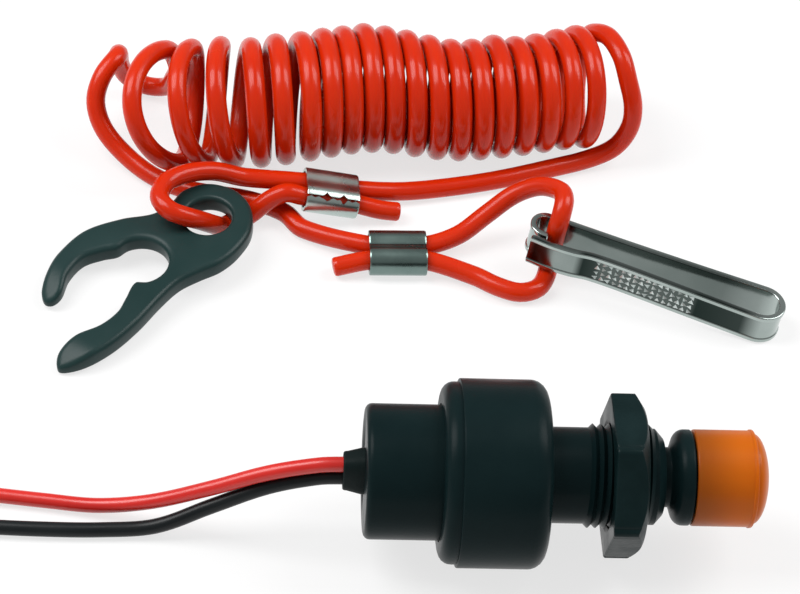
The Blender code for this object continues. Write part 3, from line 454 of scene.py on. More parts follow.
skin_group, given, made = new_group(
    "moulded_skin",
    [("Grain Size", 900.0), ("Grain Depth", 0.00002), ("Rough Low", 0.25), ("Rough High", 0.4),
     ("Patch Size", 60.0)],
    [("Roughness", "NodeSocketFloat"), ("Normal", "NodeSocketVector"), ("Patches", "NodeSocketFloat")],
)
place = skin_group.nodes.new("ShaderNodeTexCoord").outputs["Object"]
grain = noise(skin_group, place, given.outputs["Grain Size"], detail=2.0)
patches = noise(skin_group, place, given.outputs["Patch Size"], detail=4.0)
bump = skin_group.nodes.new("ShaderNodeBump")
skin_group.links.new(grain, bump.inputs["Height"])
skin_group.links.new(given.outputs["Grain Depth"], bump.inputs["Distance"])
rough = between(skin_group, patches, given.outputs["Rough Low"], given.outputs["Rough High"])
skin_group.links.new(rough, made.inputs["Roughness"])
skin_group.links.new(bump.outputs["Normal"], made.inputs["Normal"])
skin_group.links.new(between(skin_group, patches, 0.0, 1.0), made.inputs["Patches"])
print("effect:", skin_group.name)

# %% [markdown]
# Every finish starts from the same few lines: a Principled shader, the skin group for its
# roughness and its fine bump, and two close colours mixed by the soft patches. What is the same
# all over a surface, such as its metallic value, is set on the shader's own sockets.

# %% A finish from two colours


def finish(name, colour, second, metallic=0.0, sockets=(), **skin):
    """A material whose colour drifts between two close ones over the soft patches."""
    material = bpy.data.materials.new(name)
    material.use_nodes = True
    tree = material.node_tree
    shader = tree.nodes["Principled BSDF"]
    group = tree.nodes.new("ShaderNodeGroup")
    group.node_tree = skin_group
    for label, value in skin.items():
        group.inputs[label.replace("_", " ").title()].default_value = value
    mix = tree.nodes.new("ShaderNodeMix")
    mix.data_type = "RGBA"
    mix.inputs["A"].default_value = (*colour, 1.0)
    mix.inputs["B"].default_value = (*second, 1.0)
    tree.links.new(group.outputs["Patches"], mix.inputs["Factor"])
    tree.links.new(mix.outputs["Result"], shader.inputs["Base Color"])
    tree.links.new(group.outputs["Roughness"], shader.inputs["Roughness"])
    tree.links.new(group.outputs["Normal"], shader.inputs["Normal"])
    shader.inputs["Metallic"].default_value = metallic
    for label, value in sockets:
        shader.inputs[label].default_value = value
    return material


def dressed(piece, material):
    """The piece, with this material alone."""
    piece.data.materials.clear()
    piece.data.materials.append(material)
    return piece


skin_inputs = [item.name for item in skin_group.interface.items_tree if item.in_out == "INPUT"]
print("a finish takes:", ", ".join(skin_inputs))

# %% [markdown]
# The switch's housings, its nut, the clip and the boot are all close to black with a green tint,
# but they don't shine alike: the housings are smooth, the nut and the clip are satin, and the
# rubber is dull. A low specular level keeps them dark where the lamps stand.

# %% Black plastics and rubber
black_plastic = finish(
    "black_plastic_skin", (0.0035, 0.0105, 0.0115), (0.0055, 0.015, 0.016),
    sockets=[("Specular IOR Level", 0.06)],
    grain_size=1500.0, grain_depth=0.00002, rough_low=0.26, rough_high=0.4, patch_size=55.0,
)
nut_plastic = finish(
    "nut_plastic_skin", (0.0035, 0.0115, 0.012), (0.006, 0.018, 0.019),
    sockets=[("Specular IOR Level", 0.1)],
    grain_size=1100.0, grain_depth=0.00004, rough_low=0.28, rough_high=0.46, patch_size=120.0,
)
clip_plastic = finish(
    "clip_plastic_skin", (0.008, 0.027, 0.026), (0.014, 0.037, 0.036),
    sockets=[("Specular IOR Level", 0.22)],
    grain_size=1200.0, grain_depth=0.00002, rough_low=0.3, rough_high=0.42, patch_size=45.0,
)
boot_rubber = finish(
    "boot_rubber_skin", (0.005, 0.011, 0.011), (0.009, 0.016, 0.016),
    sockets=[("Specular IOR Level", 0.08)],
    grain_size=1800.0, grain_depth=0.00004, rough_low=0.45, rough_high=0.6, patch_size=90.0,
)
print("dark finishes:", len(bpy.data.materials))

# %% [markdown]
# The orange cap is soft vinyl pulled over the black stub. Light goes a little way into it, and
# near its open end the stub shows through as a darker band. The Object coordinate along the
# switch fades that band out, so it stays on the cap in every view.

# %% Orange vinyl
cap_plastic = finish(
    "orange_cap_skin", (0.5, 0.1, 0.002), (0.56, 0.125, 0.003),
    sockets=[("Specular IOR Level", 0.15), ("Subsurface Weight", 0.15),
             ("Subsurface Radius", (1.0, 0.35, 0.1)), ("Subsurface Scale", 0.003)],
    grain_size=700.0, grain_depth=0.00001, rough_low=0.3, rough_high=0.4, patch_size=50.0,
)
STUB_BAND = (0.0515, 0.0625)
STUB_COLOUR = (0.27, 0.06, 0.003)


def recoloured(material, socket, colour, share):
    """Mixes a colour into a finish, by a share: socket A or B of the mix takes the new colour."""
    tree = material.node_tree
    mix = tree.nodes.new("ShaderNodeMix")
    mix.data_type = "RGBA"
    mix.inputs[socket].default_value = (*colour, 1.0)
    tree.links.new(share, mix.inputs["Factor"])
    tree.links.new(tree.nodes["Mix"].outputs["Result"], mix.inputs["B" if socket == "A" else "A"])
    tree.links.new(mix.outputs["Result"], tree.nodes["Principled BSDF"].inputs["Base Color"])


tree = cap_plastic.node_tree
apart = tree.nodes.new("ShaderNodeSeparateXYZ")
tree.links.new(tree.nodes.new("ShaderNodeTexCoord").outputs["Object"], apart.inputs["Vector"])
from_stub = tree.nodes.new("ShaderNodeMapRange")
from_stub.interpolation_type = "SMOOTHSTEP"
from_stub.inputs["From Min"].default_value, from_stub.inputs["From Max"].default_value = STUB_BAND
tree.links.new(apart.outputs["X"], from_stub.inputs["Value"])
recoloured(cap_plastic, "A", STUB_COLOUR, from_stub.outputs["Result"])
print("orange band:", [round(x / MM + SET_MIDDLE.x, 1) for x in STUB_BAND], "mm along the switch")

# %% [markdown]
# The lanyard is glossy soft plastic, so it gets a thin coat and lets a little light in. The
# wires' insulation is plainer. All three are handled along their whole length, so the patches
# are large and faint.

# %% Cord and wire skins
cord_plastic = finish(
    "red_cord_skin", (0.52, 0.017, 0.001), (0.62, 0.026, 0.0015),
    sockets=[("Specular IOR Level", 0.2), ("Coat Weight", 0.12), ("Coat Roughness", 0.1),
             ("Subsurface Weight", 0.12), ("Subsurface Radius", (1.0, 0.12, 0.04)),
             ("Subsurface Scale", 0.0015)],
    grain_size=500.0, grain_depth=0.00002, rough_low=0.2, rough_high=0.3, patch_size=35.0,
)
red_wire_skin = finish(
    "red_wire_insulation", (0.58, 0.008, 0.004), (0.66, 0.014, 0.006),
    sockets=[("Coat Weight", 0.3), ("Coat Roughness", 0.2)],
    grain_size=900.0, grain_depth=0.00002, rough_low=0.3, rough_high=0.42, patch_size=70.0,
)
black_wire_skin = finish(
    "black_wire_insulation", (0.004, 0.006, 0.007), (0.008, 0.011, 0.012),
    sockets=[("Specular IOR Level", 0.25)],
    grain_size=900.0, grain_depth=0.00002, rough_low=0.3, rough_high=0.45, patch_size=70.0,
)
cord_skins = ((lanyard_cord, cord_plastic), (leads["red"], red_wire_skin), (leads["black"], black_wire_skin))
for cord, skin in cord_skins:
    print(dressed(cord, skin).name, "wears", skin.name)

# %% [markdown]
# Metals differ by colour and roughness: bright chrome on the hook, satin sheet on the ferrules,
# brass in the terminals. The hook's chrome also reads an attribute of its mesh, which holds painted
# shade: painted dark reflections in its pressed panel and painted shade on its inner side. An
# attribute is painted on the points themselves, so it can't slide.

# %% Metals and board
chrome = finish(
    "chromed_steel_skin", (0.34, 0.4, 0.38), (0.46, 0.52, 0.5), metallic=1.0, grain_size=260.0,
    grain_depth=0.00002, rough_low=0.1, rough_high=0.18, patch_size=80.0,
)
# Painted dark reflections and painted shade: this colour goes into the hook's chrome where its attribute says
# so.
PAINTED_REFLECTION_SHADE_COLOUR = (0.016, 0.026, 0.023)
painted_reflection_shade = chrome.node_tree.nodes.new("ShaderNodeAttribute")
painted_reflection_shade.attribute_name = "painted_reflection_shade"
recoloured(chrome, "B", PAINTED_REFLECTION_SHADE_COLOUR, painted_reflection_shade.outputs["Fac"])
ferrule_chrome = finish(
    "ferrule_chrome_skin", (0.42, 0.5, 0.47), (0.52, 0.6, 0.57), metallic=1.0, grain_size=300.0,
    grain_depth=0.00003, rough_low=0.24, rough_high=0.34, patch_size=90.0,
)
# The grip is the hook's steel in a lighter colour: a painted highlight for the light its cells catch.
painted_highlight_grip = finish(
    "grip_steel_painted_highlight", (0.6, 0.68, 0.66), (0.7, 0.76, 0.74), metallic=1.0, grain_size=500.0,
    grain_depth=0.00002, rough_low=0.28, rough_high=0.38, patch_size=150.0,
)
aluminium = finish(
    "grey_aluminium_skin", (0.15, 0.215, 0.2), (0.21, 0.285, 0.265), metallic=1.0, grain_size=420.0,
    grain_depth=0.00003, rough_low=0.24, rough_high=0.34, patch_size=110.0,
)
brass = finish(
    "turned_brass", (0.62, 0.42, 0.14), (0.7, 0.5, 0.2), metallic=1.0, grain_size=900.0,
    grain_depth=0.00002, rough_low=0.24, rough_high=0.36, patch_size=150.0,
)
spring_steel = finish(
    "drawn_spring_steel", (0.5, 0.51, 0.52), (0.58, 0.58, 0.58), metallic=1.0, grain_size=1200.0,
    grain_depth=0.00002, rough_low=0.25, rough_high=0.36, patch_size=180.0,
)
pressed_board = finish(
    "pressed_board", (0.3, 0.16, 0.06), (0.4, 0.23, 0.1), grain_size=700.0, grain_depth=0.00006,
    rough_low=0.5, rough_high=0.7, patch_size=160.0,
)
print("finishes:", len(bpy.data.materials))

# %% [markdown]
# The switch is made of turned shapes. Each is one closed outline of (distance along, radius)
# corners, some with a fillet, spun about the switch's axis. The Screw modifier could spin it
# too, but rings built in code leave no seam to merge. An oval shape is the same thing squeezed,
# and a power below 1 makes its sides fuller.

# %% Turned shapes
SPIN_STEPS, ON_AXIS = 120, 1e-6


def rounded(profile, steps=6):
    """A closed outline whose corners with a third number become arcs of that radius."""
    points = []
    for index, corner in enumerate(profile):
        here = Vector(corner[:2])
        if len(corner) == 2:
            points.append(here)
            continue
        before = (Vector(profile[index - 1][:2]) - here).normalized()
        after = (Vector(profile[(index + 1) % len(profile)][:2]) - here).normalized()
        half_angle = before.angle(after) / 2
        middle = here + (before + after).normalized() * corner[2] / math.sin(half_angle)
        reach = corner[2] / math.tan(half_angle)
        start, end = here + before * reach - middle, here + after * reach - middle
        for step in range(steps + 1):
            points.append(middle + start.lerp(end, step / steps).normalized() * corner[2])
    return points


def about_axis(distance, across, up):
    """A row point beside the switch's axis."""
    return row((distance, across, SWITCH_AXIS_HEIGHT + up))


def ringed(rings):
    """A bmesh from rings of row points; a ring of one point closes the shape on the axis."""
    shape = bmesh.new()
    rings = [[shape.verts.new(p) for p in ring] for ring in rings]
    for index, near in enumerate(rings):
        far = rings[(index + 1) % len(rings)]
        count = max(len(near), len(far))
        for step in range(count if count > 1 else 0):
            following = (step + 1) % count
            corners = [near[step % len(near)], near[following % len(near)],
                       far[following % len(far)], far[step % len(far)]]
            shape.faces.new(list(dict.fromkeys(corners)))
    return shape


def turned(name, profile, material, body=BASE, squeeze=1.0, power=1.0):
    """A closed outline spun about the switch's axis, as a finished piece on a body."""
    rings = []
    for distance, radius in rounded(profile):
        steps = SPIN_STEPS if radius > ON_AXIS else 1
        ring = []
        for step in range(steps):
            angle = math.tau * step / steps
            c, s = math.cos(angle), math.sin(angle)
            across = math.copysign(abs(c) ** power, c) * radius * squeeze
            ring.append(about_axis(distance, across, math.copysign(abs(s) ** power, s) * radius))
        rings.append(ring)
    piece = dressed(new_piece(name, ringed(rings), smooth_angle=38.0), material)
    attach(piece, body)
    return piece


# %% [markdown]
# The collar and the threaded neck are one moulding: a low lip behind, a broad round shoulder in
# front, and inside it the rear cup's seat, the spring's pocket and the bores for stem and spool.
# One outline, spun once, gives its outside and its inside together.

# %% Front shell
front_shell = turned("front_shell", [
    (15.0, 13.8), (15.0, 18.15, 2.4), (18.4, 18.15), (18.55, 18.85, 0.25), (36.1, 18.85, 3.4),
    (36.1, 9.6, 0.3), (57.7, 9.6), (59.3, 7.8, 0.3), (59.3, 6.3, 0.2), (52.8, 6.3), (52.8, 2.8),
    (45.9, 2.8), (45.9, 5.3), (32.6, 5.3), (32.6, 11.5), (22.7, 11.5), (22.7, 13.8),
], black_plastic)
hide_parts("front_housing")
print("front shell:", len(front_shell.data.polygons), "faces")

# %% [markdown]
# What repeats or follows a path is made by Geometry Nodes. Three trees come below: the thread,
# the grip and the spring. They share these helpers, which add and link nodes, and one that runs
# a tree, turns its result into plain mesh, and moves it from the tree's axis to its place.

# %% Helpers for node trees
MERGE_DISTANCE = 1e-4


def new_tree(name, inputs):
    """A geometry node tree with named inputs, and its two ends."""
    tree = bpy.data.node_groups.new(name, "GeometryNodeTree")
    tree.interface.new_socket("Geometry", in_out="INPUT", socket_type="NodeSocketGeometry")
    tree.interface.new_socket("Geometry", in_out="OUTPUT", socket_type="NodeSocketGeometry")
    for label, kind in inputs:
        tree.interface.new_socket(label, in_out="INPUT", socket_type="NodeSocket" + kind)
    return tree, tree.nodes.new("NodeGroupInput"), tree.nodes.new("NodeGroupOutput")


def add_node(tree, kind, links=(), values=()):
    """A node with some of its inputs linked and some set."""
    node = tree.nodes.new(kind)
    for label, value in values:
        node.inputs[label].default_value = value
    for label, source in links:
        tree.links.new(source, node.inputs[label])
    return node


def maths(tree, operation, first, second):
    """A Math node from two inputs, each a socket or a number."""
    node = tree.nodes.new("ShaderNodeMath")
    node.operation = operation
    for socket, value in zip(node.inputs, (first, second)):
        if isinstance(value, (int, float)):
            socket.default_value = value
        else:
            tree.links.new(value, socket)
    return node.outputs["Value"]


def ended(tree, geometry, given, made):
    """The end of a tree: its copies are made real and get their material."""
    real = add_node(tree, "GeometryNodeRealizeInstances", [("Geometry", geometry)])
    skin = add_node(tree, "GeometryNodeSetMaterial",
                    [("Geometry", real.outputs[0]), ("Material", given.outputs["Material"])])
    tree.links.new(skin.outputs[0], made.inputs["Geometry"])


def grown(name, tree, values, place, material, body=BASE):
    """Runs a tree, keeps its result as plain mesh and moves each point to its place in the row."""
    seed = bpy.data.objects.new(name + "_seed", bpy.data.meshes.new(name + "_seed"))
    bpy.context.collection.objects.link(seed)
    modifier = seed.modifiers.new(name, "NODES")
    modifier.node_group = tree
    for item in tree.interface.items_tree:
        if item.in_out == "INPUT" and item.name in values:
            modifier[item.identifier] = values[item.name]
    graph = bpy.context.evaluated_depsgraph_get()
    mesh = bpy.data.meshes.new_from_object(seed.evaluated_get(graph))
    seed.modifiers.clear()
    bpy.data.objects.remove(seed)
    shape = bmesh.new()
    shape.from_mesh(mesh)
    bmesh.ops.remove_doubles(shape, verts=shape.verts, dist=MERGE_DISTANCE)
    for vertex in shape.verts:
        vertex.co = place(vertex.co)
    piece = dressed(new_piece(name, shape, smooth_angle=30.0), material)
    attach(piece, body)
    return piece


# %% [markdown]
# The V-thread on the neck could be cut with a Boolean, but it follows a path, so a tree makes
# it: a spiral curve carries a small diamond, one corner of which points outwards. The size of
# the diamond falls at both ends, where the real thread runs out to nothing.

# %% Neck thread
THREAD_START, THREAD_LENGTH, THREAD_TURNS = 43.9, 13.2, 8.25
THREAD_ROOT, THREAD_RIDGE, RUN_OUT, LEAST_SIZE = 9.6, 0.8, 0.04, 0.05
thread_tree, given, made = new_tree("v_thread", [
    ("Turns", "Float"), ("Length", "Float"), ("Root Radius", "Float"), ("Ridge", "Float"),
    ("Run Out", "Float"), ("Material", "Material"),
])
spiral = add_node(thread_tree, "GeometryNodeCurveSpiral", [
    ("Rotations", given.outputs["Turns"]), ("Height", given.outputs["Length"]),
    ("Start Radius", given.outputs["Root Radius"]), ("End Radius", given.outputs["Root Radius"]),
], [("Resolution", 90)])
upright = add_node(thread_tree, "GeometryNodeSetCurveNormal", [("Curve", spiral.outputs["Curve"])])
upright.mode = "Z_UP"
share = thread_tree.nodes.new("GeometryNodeSplineParameter").outputs["Factor"]
nearest_end = maths(thread_tree, "MINIMUM", share, maths(thread_tree, "SUBTRACT", 1.0, share))
size = maths(thread_tree, "DIVIDE", nearest_end, given.outputs["Run Out"])
size = maths(thread_tree, "MAXIMUM", maths(thread_tree, "MINIMUM", size, 1.0), LEAST_SIZE)
diamond = add_node(thread_tree, "GeometryNodeCurvePrimitiveCircle", [("Radius", given.outputs["Ridge"])],
                   [("Resolution", 4)])
ridge = add_node(thread_tree, "GeometryNodeCurveToMesh", [
    ("Curve", upright.outputs["Curve"]), ("Profile Curve", diamond.outputs["Curve"]), ("Scale", size),
], [("Fill Caps", True)])
ended(thread_tree, ridge.outputs["Mesh"], given, made)
neck_thread = grown(
    "neck_thread", thread_tree,
    {"Turns": THREAD_TURNS, "Length": THREAD_LENGTH, "Root Radius": THREAD_ROOT, "Ridge": THREAD_RIDGE,
     "Run Out": RUN_OUT, "Material": black_plastic},
    lambda p: about_axis(THREAD_START + p.z, p.x, p.y), black_plastic,
)
print("thread:", len(neck_thread.data.polygons), "faces")

# %% [markdown]
# The rear cup plugs into the collar, with a dark parting groove between them. The boot's oval
# hole in its rear wall is cut by a Boolean modifier, which is applied before the frame sees it.

# %% Rear shell and boot
BOOT_RADIUS, BOOT_HOLE, BOOT_SQUEEZE, BOOT_POWER = 5.1, 5.25, 6.6 / 10.2, 0.7
rear_shell = turned("rear_shell", [
    (0.0, 0.0), (0.0, 13.5, 1.3), (17.7, 13.5, 0.25), (17.7, 11.8), (19.7, 11.8), (19.7, 13.5),
    (22.4, 13.5), (22.4, 10.5), (18.1, 10.5), (18.1, 9.3), (2.5, 9.3, 1.0), (2.5, 0.0),
], black_plastic)
cutter = turned("boot_hole", [(-1.0, 0.0), (-1.0, BOOT_HOLE), (3.5, BOOT_HOLE), (3.5, 0.0)], black_plastic,
                squeeze=BOOT_SQUEEZE, power=BOOT_POWER)
boolean = rear_shell.modifiers.new("boot_hole", "BOOLEAN")
boolean.object = cutter
cut_mesh = bpy.data.meshes.new_from_object(rear_shell.evaluated_get(bpy.context.evaluated_depsgraph_get()))
rear_shell.modifiers.clear()
rear_shell.data = cut_mesh
bpy.data.objects.remove(cutter)
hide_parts("rear_housing")
boot = turned("boot", [
    (BOOT_END, 0.0), (BOOT_END, 4.25, 0.5), (-3.3, 4.35), (-0.6, BOOT_RADIUS), (2.75, BOOT_RADIUS),
    (2.8, 6.2), (4.2, 6.2), (4.2, 0.0),
], boot_rubber, squeeze=BOOT_SQUEEZE, power=BOOT_POWER)
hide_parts("wire_boot")
print("rear shell:", len(rear_shell.data.polygons), "faces")

# %% [markdown]
# The big nut is a hexagon with soft corners, and its front is turned to a cone, so each flat ends
# in a curved line. Its radius is worked out for every direction, which gives both in one loft.

# %% Hexagon nut
NUT_REAR, NUT_FRONT, NUT_FLAT, NUT_BORE = 48.4, 55.2, 14.75, 10.7
NUT_CORNER, NUT_TURN, NUT_STEPS = 1.3, 55.0, 240
CONE_START, CONE_SLOPE, FACE_RADIUS = 14.3, 0.75, 14.0


def nut_reach(angle):
    """How far the nut's side lies from its axis in a direction, with its corner rounded."""
    off_corner = abs((angle - math.radians(NUT_TURN) + math.pi / 6) % (math.pi / 3) - math.pi / 6)
    flat = NUT_FLAT / math.cos(math.pi / 6 - off_corner)
    middle = (NUT_FLAT - NUT_CORNER) / math.cos(math.pi / 6)
    under = NUT_CORNER**2 - (middle * math.sin(off_corner)) ** 2
    if under <= 0:
        return flat
    return min(flat, middle * math.cos(off_corner) + math.sqrt(under))


def nut_outline(reach):
    """The nut's section in one direction, where its side lies this far out."""
    edge = NUT_FRONT - CONE_SLOPE * max(reach - CONE_START, 0.0)
    return rounded([
        (NUT_REAR, NUT_BORE + 0.6, 0.2), (NUT_REAR, reach, 0.45), (edge, reach, 0.35),
        (NUT_FRONT, FACE_RADIUS, 0.5), (NUT_FRONT, NUT_BORE + 0.7, 0.15), (NUT_FRONT - 0.7, NUT_BORE),
        (NUT_REAR + 0.6, NUT_BORE),
    ], 4)


def nut_rings():
    """Rings round the axis, one through each corner of the section."""
    angles = [math.tau * step / NUT_STEPS for step in range(NUT_STEPS)]
    outlines = [nut_outline(nut_reach(angle)) for angle in angles]
    return [
        [about_axis(distance, radius * math.cos(angle), radius * math.sin(angle))
         for angle, (distance, radius) in zip(angles, corners)]
        for corners in zip(*outlines)
    ]


hex_nut = dressed(new_piece("hex_nut", ringed(nut_rings()), smooth_angle=32.0), nut_plastic)
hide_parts("mounting_nut")
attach(hex_nut, "nut")
print("nut:", len(hex_nut.data.polygons), "faces")

# %% [markdown]
# The plunger's head is a spool: a slim core that the fork clip straddles, a flange whose back
# is rounded, and a stub that carries the soft orange cap with its thin lip and low dome.

# %% Spool and orange cap
CAP_RIM, DOME_HEIGHT, DOME_RADIUS, DOME_STEPS = 77.4, 3.2, 9.1, 14
spool = turned("spool", [
    (53.1, 2.8), (53.1, 6.0, 0.4), (60.7, 6.0, 0.3), (61.2, 7.2), (61.9, 9.6, 2.2), (65.0, 9.6, 0.5),
    (65.0, 7.9), (74.6, 7.9, 0.8), (74.6, 0.0), (60.1, 0.0), (60.1, 2.8),
], black_plastic, "plunger")
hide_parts("plunger_spool")
quarter = [step * math.pi / (2 * DOME_STEPS) for step in range(1, DOME_STEPS)]
dome = [(CAP_RIM + DOME_HEIGHT * math.sin(angle), DOME_RADIUS * math.cos(angle)) for angle in quarter]
orange_cap = turned("orange_cap", [
    (65.3, 8.2, 0.2), (65.3, 9.65, 0.4), (76.6, 9.65, 0.15), (76.75, 9.85, 0.12), (CAP_RIM, 9.85, 0.3),
    (CAP_RIM + 0.02, DOME_RADIUS), *dome, (80.6, 0.0), (77.6, 0.0), (77.6, 8.2, 0.5),
], cap_plastic, "plunger")
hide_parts("end_cap")
print("cap:", len(orange_cap.data.polygons), "faces")

# %% [markdown]
# The two ferrules are strips of sheet rolled round both strands. A plain tube with a painted
# seam would look flat from close by, so the sheet is built as two grids that run round from one
# edge of the seam to the other, the outer and the inner side, with a wall that joins them.

# %% Shape of a rolled ferrule
ROUND_STEPS, LONG_STEPS = 96, 84
FLAT_SHARE = 0.1
END_DRAW, END_SOFT = 0.12, 0.35
BORE_CLEARANCE = 0.05


def sleeve_section(radius, waist, share):
    """A point on the two-lobed outline, from the middle of its top round and back to it."""
    share %= 1.0
    if share > 0.5:
        x, y = sleeve_section(radius, waist, 1.0 - share)
        return -x, y
    if share < FLAT_SHARE or share > 0.5 - FLAT_SHARE:
        x = STRAND_OFFSET * min(share, 0.5 - share) / FLAT_SHARE
        dip = waist * (1 + math.cos(math.pi * x / STRAND_OFFSET)) / 2
        return x, (radius - dip) * (1 if share < FLAT_SHARE else -1)
    angle = math.pi * (0.5 - (share - FLAT_SHARE) / (0.5 - 2 * FLAT_SHARE))
    return STRAND_OFFSET + radius * math.cos(angle), radius * math.sin(angle)


def rolled_skin(shape, sleeve, length, radius, waist, draw, seam, edges):
    """One side of the sheet, as a grid of points that runs round from edge to edge of its seam."""
    grid = []
    for step in range(LONG_STEPS + 1):
        along = step / LONG_STEPS
        start, end = edges[0](along * length), 1.0 - edges[1](along * length)
        to_end = min(along, 1 - along) * length
        soft = draw * max(0.0, 1.0 - to_end / END_SOFT) ** 2
        line = []
        for turn in range(ROUND_STEPS + 1):
            share = seam + start + (end - start) * turn / ROUND_STEPS
            x, y = sleeve_section(radius - soft, waist, share)
            line.append(shape.verts.new(row(sleeve @ Vector((x, y, (along - 0.5) * length)))))
        grid.append(line)
    return grid


def rolled_ferrule(name, sleeve, length, waists, seam, edges, material):
    """A sheet rolled round the two strands, whose seam edges follow two functions."""
    shape = bmesh.new()
    outer = rolled_skin(shape, sleeve, length, SLEEVE_RADIUS, waists[0], END_DRAW, seam, edges)
    inner = rolled_skin(shape, sleeve, length, SLEEVE_BORE + BORE_CLEARANCE, waists[1], 0.0, seam, edges)
    for grid in (outer, inner):
        for near, far in zip(grid, grid[1:]):
            for turn in range(ROUND_STEPS):
                shape.faces.new((near[turn], near[turn + 1], far[turn + 1], far[turn]))
    for step in range(LONG_STEPS):
        for turn in (0, ROUND_STEPS):
            shape.faces.new((outer[step][turn], outer[step + 1][turn],
                             inner[step + 1][turn], inner[step][turn]))
    for step in (0, LONG_STEPS):
        for turn in range(ROUND_STEPS):
            shape.faces.new((outer[step][turn], outer[step][turn + 1],
                             inner[step][turn + 1], inner[step][turn]))
    piece = dressed(new_piece(name, shape, smooth_angle=35.0), material)
    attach(piece, BASE)
    return piece


# %% [markdown]
# The edges of a seam are functions: each takes a place along the ferrule and gives the share of
# the way round by which the sheet stops short there. The grey ferrule's edges are straight. The
# chromed one has teeth on one edge, and both its edges bend away from the two windows.

# %% Both ferrules
SEAM_GAP, TOOTH_GAP = 0.004, 0.005
TOOTH_HEIGHT, TOOTH_PITCH = 0.011, 1.7
WINDOW_MIDDLES, WINDOW_DEPTH, WINDOW_HALF_LENGTH = (4.4, 8.2), 0.024, 0.9
CLIP_SEAM, HOOK_SEAM = -0.16, 0.0
CLIP_WAISTS, HOOK_WAISTS = (0.25, 0.05), (0.7, 0.28)


def windows(along):
    """What one edge gives to each of the two diamond windows in the seam."""
    return sum(WINDOW_DEPTH * max(0.0, 1.0 - abs(along - middle) / WINDOW_HALF_LENGTH)
               for middle in WINDOW_MIDDLES)


def smooth_edge(along):
    return SEAM_GAP + windows(along)


def toothed_edge(along):
    """A triangle wave, and the windows."""
    return TOOTH_GAP + TOOTH_HEIGHT * abs((along / TOOTH_PITCH) % 1.0 - 0.5) * 2 + windows(along)


def straight_edge(along):
    return SEAM_GAP


clip_sleeve = rolled_ferrule(
    "clip_sleeve", clip_sleeve_frame, CLIP_SLEEVE_LENGTH, CLIP_WAISTS, CLIP_SEAM,
    (smooth_edge, toothed_edge), ferrule_chrome,
)
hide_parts("clip_ferrule")
hook_sleeve = rolled_ferrule(
    "hook_sleeve", hook_sleeve_frame, HOOK_SLEEVE_LENGTH, HOOK_WAISTS, HOOK_SEAM,
    (straight_edge, straight_edge), aluminium,
)
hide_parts("hook_ferrule")
print("ferrules:", len(clip_sleeve.data.polygons), "and", len(hook_sleeve.data.polygons), "faces")

# %% [markdown]
# The fork clip is a thick plate of moulded plastic with wide soft edges. Its outline is one
# smooth closed curve, which runs clockwise through these points: round the shorter arm, the eye
# and the longer arm, and back through the slot, whose round end is an arc.

# %% Outline of the fork clip
OUTLINE_STEPS, OUTLINE_SPACING = 12, 0.55


def arc(centre, radius, start, end, steps):
    """Flat points round a centre, from one angle to another in degrees."""
    angles = [math.radians(start + (end - start) * step / steps) for step in range(steps + 1)]
    return [(centre[0] + radius * math.cos(a), centre[1] + radius * math.sin(a)) for a in angles]


CLIP_OUTLINE = [
    (-21.3, 8.2), (-20.0, 10.4), (-16.4, 12.9), (-11.0, 15.2), (-3.0, 16.2), (5.0, 13.4), (11.0, 9.8),
    (15.5, 9.4), (20.5, 10.4), (25.8, 8.2), (28.8, 2.6), (28.0, -3.6), (23.5, -8.8), (17.5, -11.2),
    (12.0, -11.6), (7.0, -10.4), (2.0, -9.6), (-4.0, -10.4), (-12.0, -12.2), (-20.0, -13.0),
    (-27.0, -12.0), (-31.2, -9.0), (-29.0, -6.2), (-23.5, -5.6), (-18.0, -7.0), (-13.0, -6.7),
    (-9.3, -5.0), *arc((-0.2, 1.0), 6.3, -140, 100, 9), (-4.2, 8.8), (-8.5, 10.2), (-13.5, 9.0),
    (-17.6, 6.5), (-19.8, 6.2), (-21.0, 6.9),
]


def closed_line(points, spacing):
    """A smooth closed line through flat points, evenly spaced: its ends overlap, then are cut."""
    places = [Vector((*p, 0.0)) for p in points]
    run = flowing(places[-3:] + places + places[:3], OUTLINE_STEPS)
    return evenly(run[3 * OUTLINE_STEPS:-2 * OUTLINE_STEPS], spacing)[:-1]


clip_line = closed_line(CLIP_OUTLINE, OUTLINE_SPACING)
print("clip outline:", len(clip_line), "points,", round(line_length(clip_line)), "mm round")

# %% [markdown]
# Rings of the outline, drawn inwards along a quarter circle, make the soft edge. A Bevel modifier
# would clash with itself in the tight inner corners, so here each point has its own room, and the
# rings draw in less where the outline turns tightly. The arms thin towards their tips.

# %% Soft edge of the fork clip
CLIP_THICKNESS, CLIP_EDGE_WIDTH, CLIP_EDGE_HEIGHT = 4.6, 1.5, 1.3
ROOM_SHARE, LEAST_TURN, ROOM_SMOOTHING = 0.75, 0.02, 12
LONG_ARM_TIP, SHORT_ARM_TIP = -CLIP_TIP, -21.2
TIP_SHARE, TIP_TAPER = 0.45, 8.0


def edge_room(line, width):
    """How far each point may be drawn inwards before its neighbours would cross."""
    count = len(line)
    room = []
    for index in range(count):
        back, forth = line[index] - line[index - 2], line[(index + 2) % count] - line[index]
        turn = -math.atan2(back.x * forth.y - back.y * forth.x, back.dot(forth))
        reach = ROOM_SHARE * (back.length + forth.length) / 2 / turn if turn > LEAST_TURN else width
        room.append(min(width, reach))
    for _ in range(ROOM_SMOOTHING):
        room = [min(room[i], (room[i - 1] + room[i] + room[(i + 1) % count]) / 3) for i in range(count)]
    return room


def drawn_in(line, room, share):
    """The outline drawn inwards by a share of each point's room."""
    count = len(line)
    ring = []
    for index, point in enumerate(line):
        along = (line[(index + 1) % count] - line[index - 1]).normalized()
        ring.append(point + Vector((along.y, -along.x, 0.0)) * room[index] * share)
    return ring


